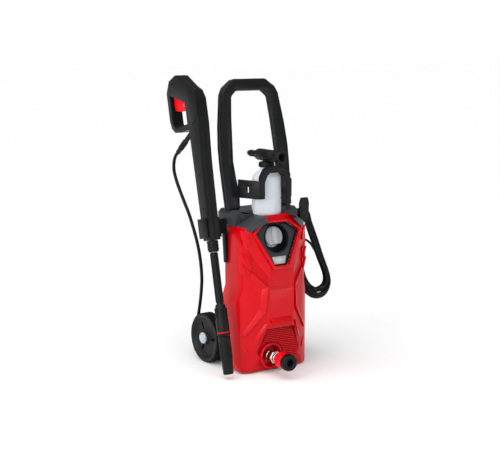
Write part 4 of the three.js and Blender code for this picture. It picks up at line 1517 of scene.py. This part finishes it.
@dataclass
class Lance:
    """The fluted lance with its collar, flared nozzle body and turning sleeve."""

    flutes: int = 12

    def build(self, shop: Workshop) -> None:
        """Builds and dresses the lance.

        Args:
            shop: the workshop that makes and fits the pieces.
        """
        up = (0, 0, 1)
        collar = shop.lathe("lance_collar_turned", [
            (0, 0), (13, 0), (14, 1), (14.6, 4), (16, 6), (16, 10), (14.8, 11), (14.8, 13.5),
            (16, 14.5), (16, 19), (14.8, 20), (14.8, 22.5), (16, 23.5), (16, 28), (14, 31.5),
            (0, 31.5)], (0, 0, 349), up, 72, GUN)
        shop.fit(shop.coat(collar, GUN_PA), "gun", ["lance_collar"])
        tube = shop.rod("tube", 9.8, (0, 0, 206.3), (0, 0, 348.6), 60, GUN)
        shop.coat(tube, GUN_PA)
        ribs = shop.ring_of("flutes", GUN_PA, self.flutes, 10.0, (2.2, 2.6, 134.0),
                            GUN @ Matrix.Translation((0, 0, 278)))
        shop.fit(shop.together("lance_tube_fluted", [tube, ribs]), "gun",
                 ["lance_tube"])
        self.nozzle(shop)

    def nozzle(self, shop: Workshop) -> None:
        """The nozzle body and the sleeve that turns on it.

        Args:
            shop: the workshop that makes and fits the pieces.
        """
        up = (0, 0, 1)
        body = shop.lathe("nozzle_body", [
            (0, 0), (15, 0), (16, 1), (17.6, 5), (17.6, 8.6), (16.8, 9.2), (16.8, 11.8),
            (17.6, 12.4), (17.6, 43), (16, 51), (16.5, 55), (16.5, 59), (14, 84), (11.5, 88),
            (0, 88)], (0, 0, 118), up, 72, GUN)
        shop.coat(body, GUN_PA)
        ring = shop.lathe("red_ring", [(16.2, 0), (17.5, 0), (17.5, 2.4), (16.2, 2.4),
                                       (16.2, 0)], (0, 0, 127.3), up, 72, GUN)
        shop.coat(ring, SIGNAL_RED)
        knurl = shop.ring_of("knurl", GUN_PA, 20, 16.4, (1.8, 2.6, 26.0),
                             GUN @ Matrix.Translation((0, 0, 182)))
        shop.fit(shop.together("nozzle_body_turned", [body, ring, knurl]), "gun",
                 ["nozzle_body"])
        sleeve = shop.lathe("nozzle_sleeve_turned", [
            (5, 20), (11, 0), (12.8, 0), (13.5, 0.8), (14.5, 4), (15.2, 34), (16.2, 36),
            (16.5, 92), (17, 96), (17, 102.6), (16, 103.5), (5, 103.5), (5, 20)],
            (0, 0, 14), up, 72, GUN)
        shop.coat(sleeve, GUN_PA)
        ridges = shop.ring_of("ridges", GUN_PA, 18, 16.1, (1.4, 2.0, 48.0),
                              GUN @ Matrix.Translation((0, 0, 80)))
        shop.fit(shop.together("nozzle_sleeve_ridged", [sleeve, ridges]),
                 "nozzle_sleeve", ["nozzle_sleeve"])


@dataclass
class HolderAndHook:
    """The gun's cradle on the left and the cord hook on the right."""

    holder_edge: float = 1.5
    hook_edge: float = 2.0

    def build(self, shop: Workshop) -> None:
        """Builds and dresses both.

        Args:
            shop: the workshop that makes and fits the pieces.
        """
        shop.dressed("gun_holder", BLACK_PP, self.holder_edge)
        shop.dressed("cord_hook", BLACK_PP, self.hook_edge, segments=3)
        spots = [(-106.6, -10.2, z) for z in (360, 322)]
        heads = shop.heads("holder_screws", WHEEL_PP, 3.0, 2.0, (90, 0, 0), spots)
        shop.fit(heads)


@dataclass
class Internals:
    """The motor, pump and fittings inside the housing."""

    def build(self, shop: Workshop) -> None:
        """Gives the working parts their metals and plastics.

        Args:
            shop: the workshop that makes and fits the pieces.
        """
        finishes = {
            CAST_ALLOY: ("motor_can", "pump_body"),
            STEEL: ("rotor", "bearing_lower", "bearing_upper", "swash_plate", "piston_1",
                    "piston_2", "piston_3"),
            BRASS: ("pump_head", "outlet_fitting"),
            BLACK_PP: ("cooling_fan",),
            ELECTRIC_PBT: ("capacitor",),
        }
        for finish, nodes in finishes.items():
            for node in nodes:
                shop.painted(node, finish)


# ---------------------------------------------------------------- hose and lead


@dataclass
class Hose:
    """The high-pressure hose: down from the gun, a coil on the ground, and back to the outlet."""

    diameter: float = 9.5
    length: float = 5.0
    coil_at: tuple = (8.0, 192.0)
    coil_r: tuple = (45.3, 55.0, 64.7)
    layers: int = 4
    layer_pitch: float = 9.7
    lying_z: float = 4.9
    join_deg: float = 118.0
    run: tuple = ((-159.5, 182, 573), (-158.5, 187, 555), (-156.5, 186, 534),
                  (-153, 175, 504), (-148, 154, 464), (-142, 128, 416), (-134, 104, 348),
                  (-127, 97, 292), (-120, 102, 236), (-113, 120, 180), (-108, 140, 128),
                  (-104, 158, 84), (-97, 176, 46), (-90, 192, 24), (-80, 208, 10),
                  (-67, 223, 4.9), (-50, 236, 4.9))
    tail: tuple = ((83, 190, 4.8), (82, 174, 5), (77.5, 160, 8), (70, 147, 15.5),
                   (59.5, 136.5, 24.5), (48, 127, 34), (38.5, 117, 42), (32, 106.5, 46.8),
                   (30, 94.6, 48))

    def build(self, shop: Workshop) -> None:
        """Builds and dresses the hose and its nut.

        Args:
            shop: the workshop that makes and fits the pieces.
        """
        path = self.path()
        tube = shop.tube("hose", path, self.diameter / 2)
        tube.data.shade_smooth()
        shop.finish(tube, HOSE_PVC)
        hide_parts("hose_run", "hose_coil", "hose_tail")
        points = [shop.world(p) for p in path]
        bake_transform(tube)
        profile = [(5.2, 0), (14, 0), (14, 16), (9, 20), (8, 26), (6.4, 27.5), (5.2, 27.5),
                   (5.2, 0)]
        nut = shop.lathe("hose_nut_turned", profile, (30, 66.6, 48), (0, 1, 0))
        shop.coat(nut, HOSE_PVC)
        grips = shop.ring_of("nut_grips", HOSE_PVC, 18, 14.0, (1.6, 2.2, 12.0),
                             Matrix.Translation((30, 75.5, 48)) @ LAID_DOWN)
        nut = shop.together("hose_nut_gripped", [nut, grips])
        shop.fit(nut, stands_for=["hose_nut"])
        LOG.info("hose runs %.3f m", run_length(points))

    def path(self) -> list[Vector]:
        """The hose's centreline.

        Returns:
            Points along it.
        """
        grip = [GUN @ Vector(p) for p in ((0, 125.3, 639.85), (0, 140, 632.6))]
        down = smooth_line([*grip, *self.run, *self.coil()[:3]], 4.0)
        coil = self.coil()
        whole = down[:-1] + coil[2:]
        end = smooth_line([coil[-3], coil[-2], coil[-1], *self.tail], 4.0)
        return evenly(whole[:-2] + end[2:], 4.0)

    def coil(self) -> list[Vector]:
        """Turns wound clockwise in layers, out and in by turns, ending down the outside.

        Returns:
            Points along it.
        """
        cx, cy = self.coil_at
        turns = len(self.coil_r)
        start = math.radians(self.join_deg)
        steps = 48
        points = []
        for layer in range(self.layers):
            radii = self.coil_r[::-1] if layer % 2 == 0 else self.coil_r
            for turn in range(turns):
                for i in range(steps):
                    t = i / steps
                    last = turn == turns - 1
                    nudge = max(0.0, (t - 0.75) / 0.25)
                    ease = nudge * nudge * (3 - 2 * nudge)
                    r = radii[turn]
                    z = self.lying_z + self.layer_pitch * layer
                    if not last:
                        r += (radii[turn + 1] - r) * ease
                    elif layer < self.layers - 1:
                        z += self.layer_pitch * ease
                    a = start - 2 * math.pi * (layer * turns + turn + t)
                    points.append(Vector((cx + r * math.cos(a), cy + r * math.sin(a), z)))
        for i in range(1, 16):
            t = i / 15
            a = start - math.radians(110) * t
            ease = t * t * (3 - 2 * t)
            r = self.coil_r[-1] + 10.2 * min(1.0, t * 1.8)
            top = self.lying_z + self.layer_pitch * (self.layers - 1)
            z = top * (1 - ease) + self.lying_z * ease
            points.append(Vector((cx + r * math.cos(a), cy + r * math.sin(a), z)))
        return points


@dataclass
class MainsLead:
    """The mains lead: out of its gland, looped over the hook, and down to its plug."""

    diameter: float = 7.0
    length: float = 5.0
    lead: tuple = ((44, 67, 330), (44, 95, 330), (45, 108, 331), (54, 122, 333), (74, 132, 334),
                   (104, 130, 335), (140, 114, 336), (170, 88, 336), (188, 60, 335),
                   (197, 36, 331), (202, 16, 322), (205, 1, 306))
    tail: tuple = ((140, -2.5, 243), (140, 4.5, 257), (140, 20.5, 265), (140, 36.5, 260),
                   (140, 46.5, 246), (140, 48, 226), (140, 48, 212))
    hank_out: tuple = ((109, 404), (110, 370), (116, 325), (126, 272), (141, 216), (163, 176),
                       (195, 155), (228, 154), (251, 172), (257, 203), (246, 243), (227, 283),
                       (205, 335), (184, 380), (172, 404))
    hank_in: tuple = ((123, 404), (126, 370), (133, 322), (143, 272), (158, 232), (178, 210),
                      (202, 202), (222, 207), (231, 222), (225, 246), (206, 284), (187, 328),
                      (168, 374), (158, 404))
    places: tuple = ((0.25, 0.62, -6.6), (0.24, 0.12, -13.2), (0.25, 0.3, -19.8),
                     (0.24, 0.52, -26.2), (0.77, 0.95, -26.4), (0.77, 0.72, -20.0),
                     (0.76, 0.42, -13.5), (0.78, 0.88, -6.9))

    def build(self, shop: Workshop) -> None:
        """Builds and dresses the lead, its gland and its plug.

        Args:
            shop: the workshop that makes and fits the pieces.
        """
        path = self.path()
        tube = shop.tube("mains_lead", path, self.diameter / 2, 12)
        tube.data.shade_smooth()
        shop.finish(tube, LEAD_PVC)
        shop.fit(tube, stands_for=["cord_lead", "cord_hank", "cord_tail"])
        gland_profile = [(3.8, 0), (9.5, 0), (9.5, 4), (8, 6)]
        for k in range(5):
            h, r = 7 + 4.2 * k, 7.6 - 0.5 * k
            gland_profile += [(r, h), (r, h + 2.2), (r - 1.1, h + 2.6), (r - 1.1, h + 3.8)]
        gland_profile += [(4.6, 28), (3.8, 28), (3.8, 0)]
        gland = shop.lathe("lead_gland_ribbed", gland_profile, (44, 66.4, 330), (0, 1, 0))
        shop.fit(shop.coat(gland, LEAD_PVC),
                 stands_for=["cord_gland"])
        plug = shop.lathe("plug", [
            (0, 0), (12, 0), (13, 1), (18, 6), (18, 23), (16.8, 26), (10, 34), (8.4, 37),
            (8.4, 39), (7, 40), (7, 42), (7.6, 43), (7.6, 45), (6, 46), (6, 49), (5, 50),
            (0, 50)], (140, 48, 161), (0, 0, 1))
        shop.coat(plug, LEAD_PVC)
        pins = [shop.rod("pin", 2.4, (x, 48, 144.4), (x, 48, 163), 24) for x in (130.5, 149.5)]
        for pin in pins:
            shop.coat(pin, NICKEL, 0.5)
        plug = shop.together("plug_moulded", [plug, *pins])
        shop.fit(plug, stands_for=["plug"])
        points = [shop.world(p) for p in path]
        LOG.info("lead runs %.3f m", run_length(points))

    @staticmethod
    def ring(outline: Outline, radius: float) -> list[Vector]:
        """A closed hank outline, clockwise from over the beam, at even steps.

        Args:
            outline: the hank's outline.
            radius: the radius of its arc over the beam.

        Returns:
            Points along it.
        """
        arc = [(140.5 + radius * math.cos(a), 406 + radius * math.sin(a))
               for a in (math.pi * i / 10 for i in range(1, 10))]
        order = [*arc[4::-1], *outline[::-1], *arc[:3:-1]]
        knots = [Vector((x, 0, z)) for x, z in order]
        return evenly(smooth_line(knots, 4.0), run_length(knots) / 120)[:120]

    def path(self) -> list[Vector]:
        """The lead's centreline.

        Returns:
            Points along it.
        """
        outer, inner = self.ring(self.hank_out, 31.5), self.ring(self.hank_in, 17.6)
        steps = len(outer)
        entry = min(range(steps // 2), key=lambda i: abs(outer[i].z - 286))
        leave = steps * len(self.places) - 1
        while outer[leave % steps].z > 216 or outer[leave % steps].x > 170:
            leave -= 1
        loops = []
        for i in range(entry, leave + 1):
            turn, t = divmod(i, steps)
            top, low, y = self.places[turn]
            top2, _, y2 = self.places[min(turn + 1, len(self.places) - 1)]
            blend = max(0.0, (t / steps - 0.82) / 0.18)
            blend = blend * blend * (3 - 2 * blend)
            share_top = top + (top2 - top) * blend
            height = (outer[t].z + inner[t].z) / 2
            drop = min(1.0, max(0.0, (400 - height) / 150))
            share = share_top + (low - share_top) * drop * (1 - blend)
            point = outer[t].lerp(inner[t], 0.14 + 0.72 * share)
            loops.append(Vector((point.x, y + (y2 - y) * blend, point.z)))
        loops = evenly(loops, 12.0)
        first = smooth_line([*self.lead, loops[1], *loops[2:]], 4.0)
        return smooth_line([*evenly(first, 12.0)[:-1], *self.tail], 4.0)


# ---------------------------------------------------------------- studio


@dataclass
class Studio:
    """A pale floor, a soft sky, two softboxes and the camera."""

    azimuth: float = -34.22
    elevation: float = 9.40
    distance: float = 3.124
    target: tuple = (-23.0, 0.0, 399.0)
    lens: float = 80.2
    fill: float = 0.26

    def build(self, shop: Workshop) -> None:
        """Sets the stage.

        Args:
            shop: the workshop that makes and fits the pieces.
        """
        self.floor(shop)
        self.camera(shop)
        bpy.context.scene.view_settings.view_transform = "Standard"
        world = bpy.data.worlds.new("studio")
        world.use_nodes = True
        back = world.node_tree.nodes["Background"]
        back.inputs["Color"].default_value = linear("#ffffff")
        seen = add_node(world.node_tree, "ShaderNodeLightPath").outputs["Is Camera Ray"]
        strength = add_node(world.node_tree, "ShaderNodeMapRange", inputs={
            "Value": seen, "To Min": self.fill, "To Max": 1.0})
        world.node_tree.links.new(strength.outputs["Result"], back.inputs["Strength"])
        bpy.context.scene.world = world
        self.sky_lamp()
        self.light(shop, "left", (-2300, -700, 900), 1.0, 16)
        self.light(shop, "front", (1500, -2400, 600), 0.8, 7)

    def sky_lamp(self) -> None:
        """A broad, soft, even light from the upper left that keeps the floor pale everywhere."""
        data = bpy.data.lights.new("sky", "SUN")
        data.energy = 3.3
        data.angle = math.radians(110)
        lamp = bpy.data.objects.new("sky", data)
        lamp.rotation_euler = Vector((-0.75, -0.3, 1.0)).to_track_quat("Z", "Y").to_euler()
        bpy.context.scene.collection.objects.link(lamp)

    def floor(self, shop: Workshop) -> None:
        """A wide pale sheet under everything.

        Args:
            shop: the workshop that makes and fits the pieces.
        """
        sheet = shop.box("floor", (-30000, -30000, -12), (30000, 30000, -0.4))
        shop.finish(sheet, FLOOR_CARD)

    def camera(self, shop: Workshop) -> None:
        """The view from the front left, a little above.

        Args:
            shop: the workshop that makes and fits the pieces.
        """
        a, e = math.radians(self.azimuth), math.radians(self.elevation)
        back = Vector((math.sin(a) * math.cos(e), -math.cos(a) * math.cos(e), math.sin(e)))
        data = bpy.data.cameras.new("camera")
        data.lens = self.lens
        data.sensor_width = 36.0
        data.clip_end = 100.0
        camera = bpy.data.objects.new("camera", data)
        camera.location = shop.world(self.target) + back * self.distance
        camera.rotation_euler = back.to_track_quat("Z", "Y").to_euler()
        bpy.context.scene.collection.objects.link(camera)
        bpy.context.scene.camera = camera

    @staticmethod
    def light(shop: Workshop, name: str, at: Point, size: float, power: float) -> None:
        """A square softbox aimed at the machine's middle.

        Args:
            shop: the workshop.
            name: the light's name.
            at: its place, in drawing millimetres.
            size: its side, in metres.
            power: its power, in watts.
        """
        data = bpy.data.lights.new(name, "AREA")
        data.size = size
        data.energy = power
        lamp = bpy.data.objects.new(name, data)
        lamp.location = shop.world(at)
        aim = lamp.location - shop.world((0, 0, 380))
        lamp.rotation_euler = aim.to_track_quat("Z", "Y").to_euler()
        bpy.context.scene.collection.objects.link(lamp)


def main() -> None:
    """Builds the washer round its frame."""
    logging.basicConfig(level=logging.INFO, format="%(levelname)s %(message)s")
    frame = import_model()
    shop = Workshop(frame["nodes"])
    for assembly in (Studio(), Hose(), MainsLead(), Housing(), ControlPanel(), Handle(),
                     FoamBottle(), Wheels(), WaterInlet(), Gun(), Lance(), HolderAndHook(),
                     Internals()):
        LOG.info("building %s", type(assembly).__name__)
        assembly.build(shop)


if __name__ == "__main__":
    main()
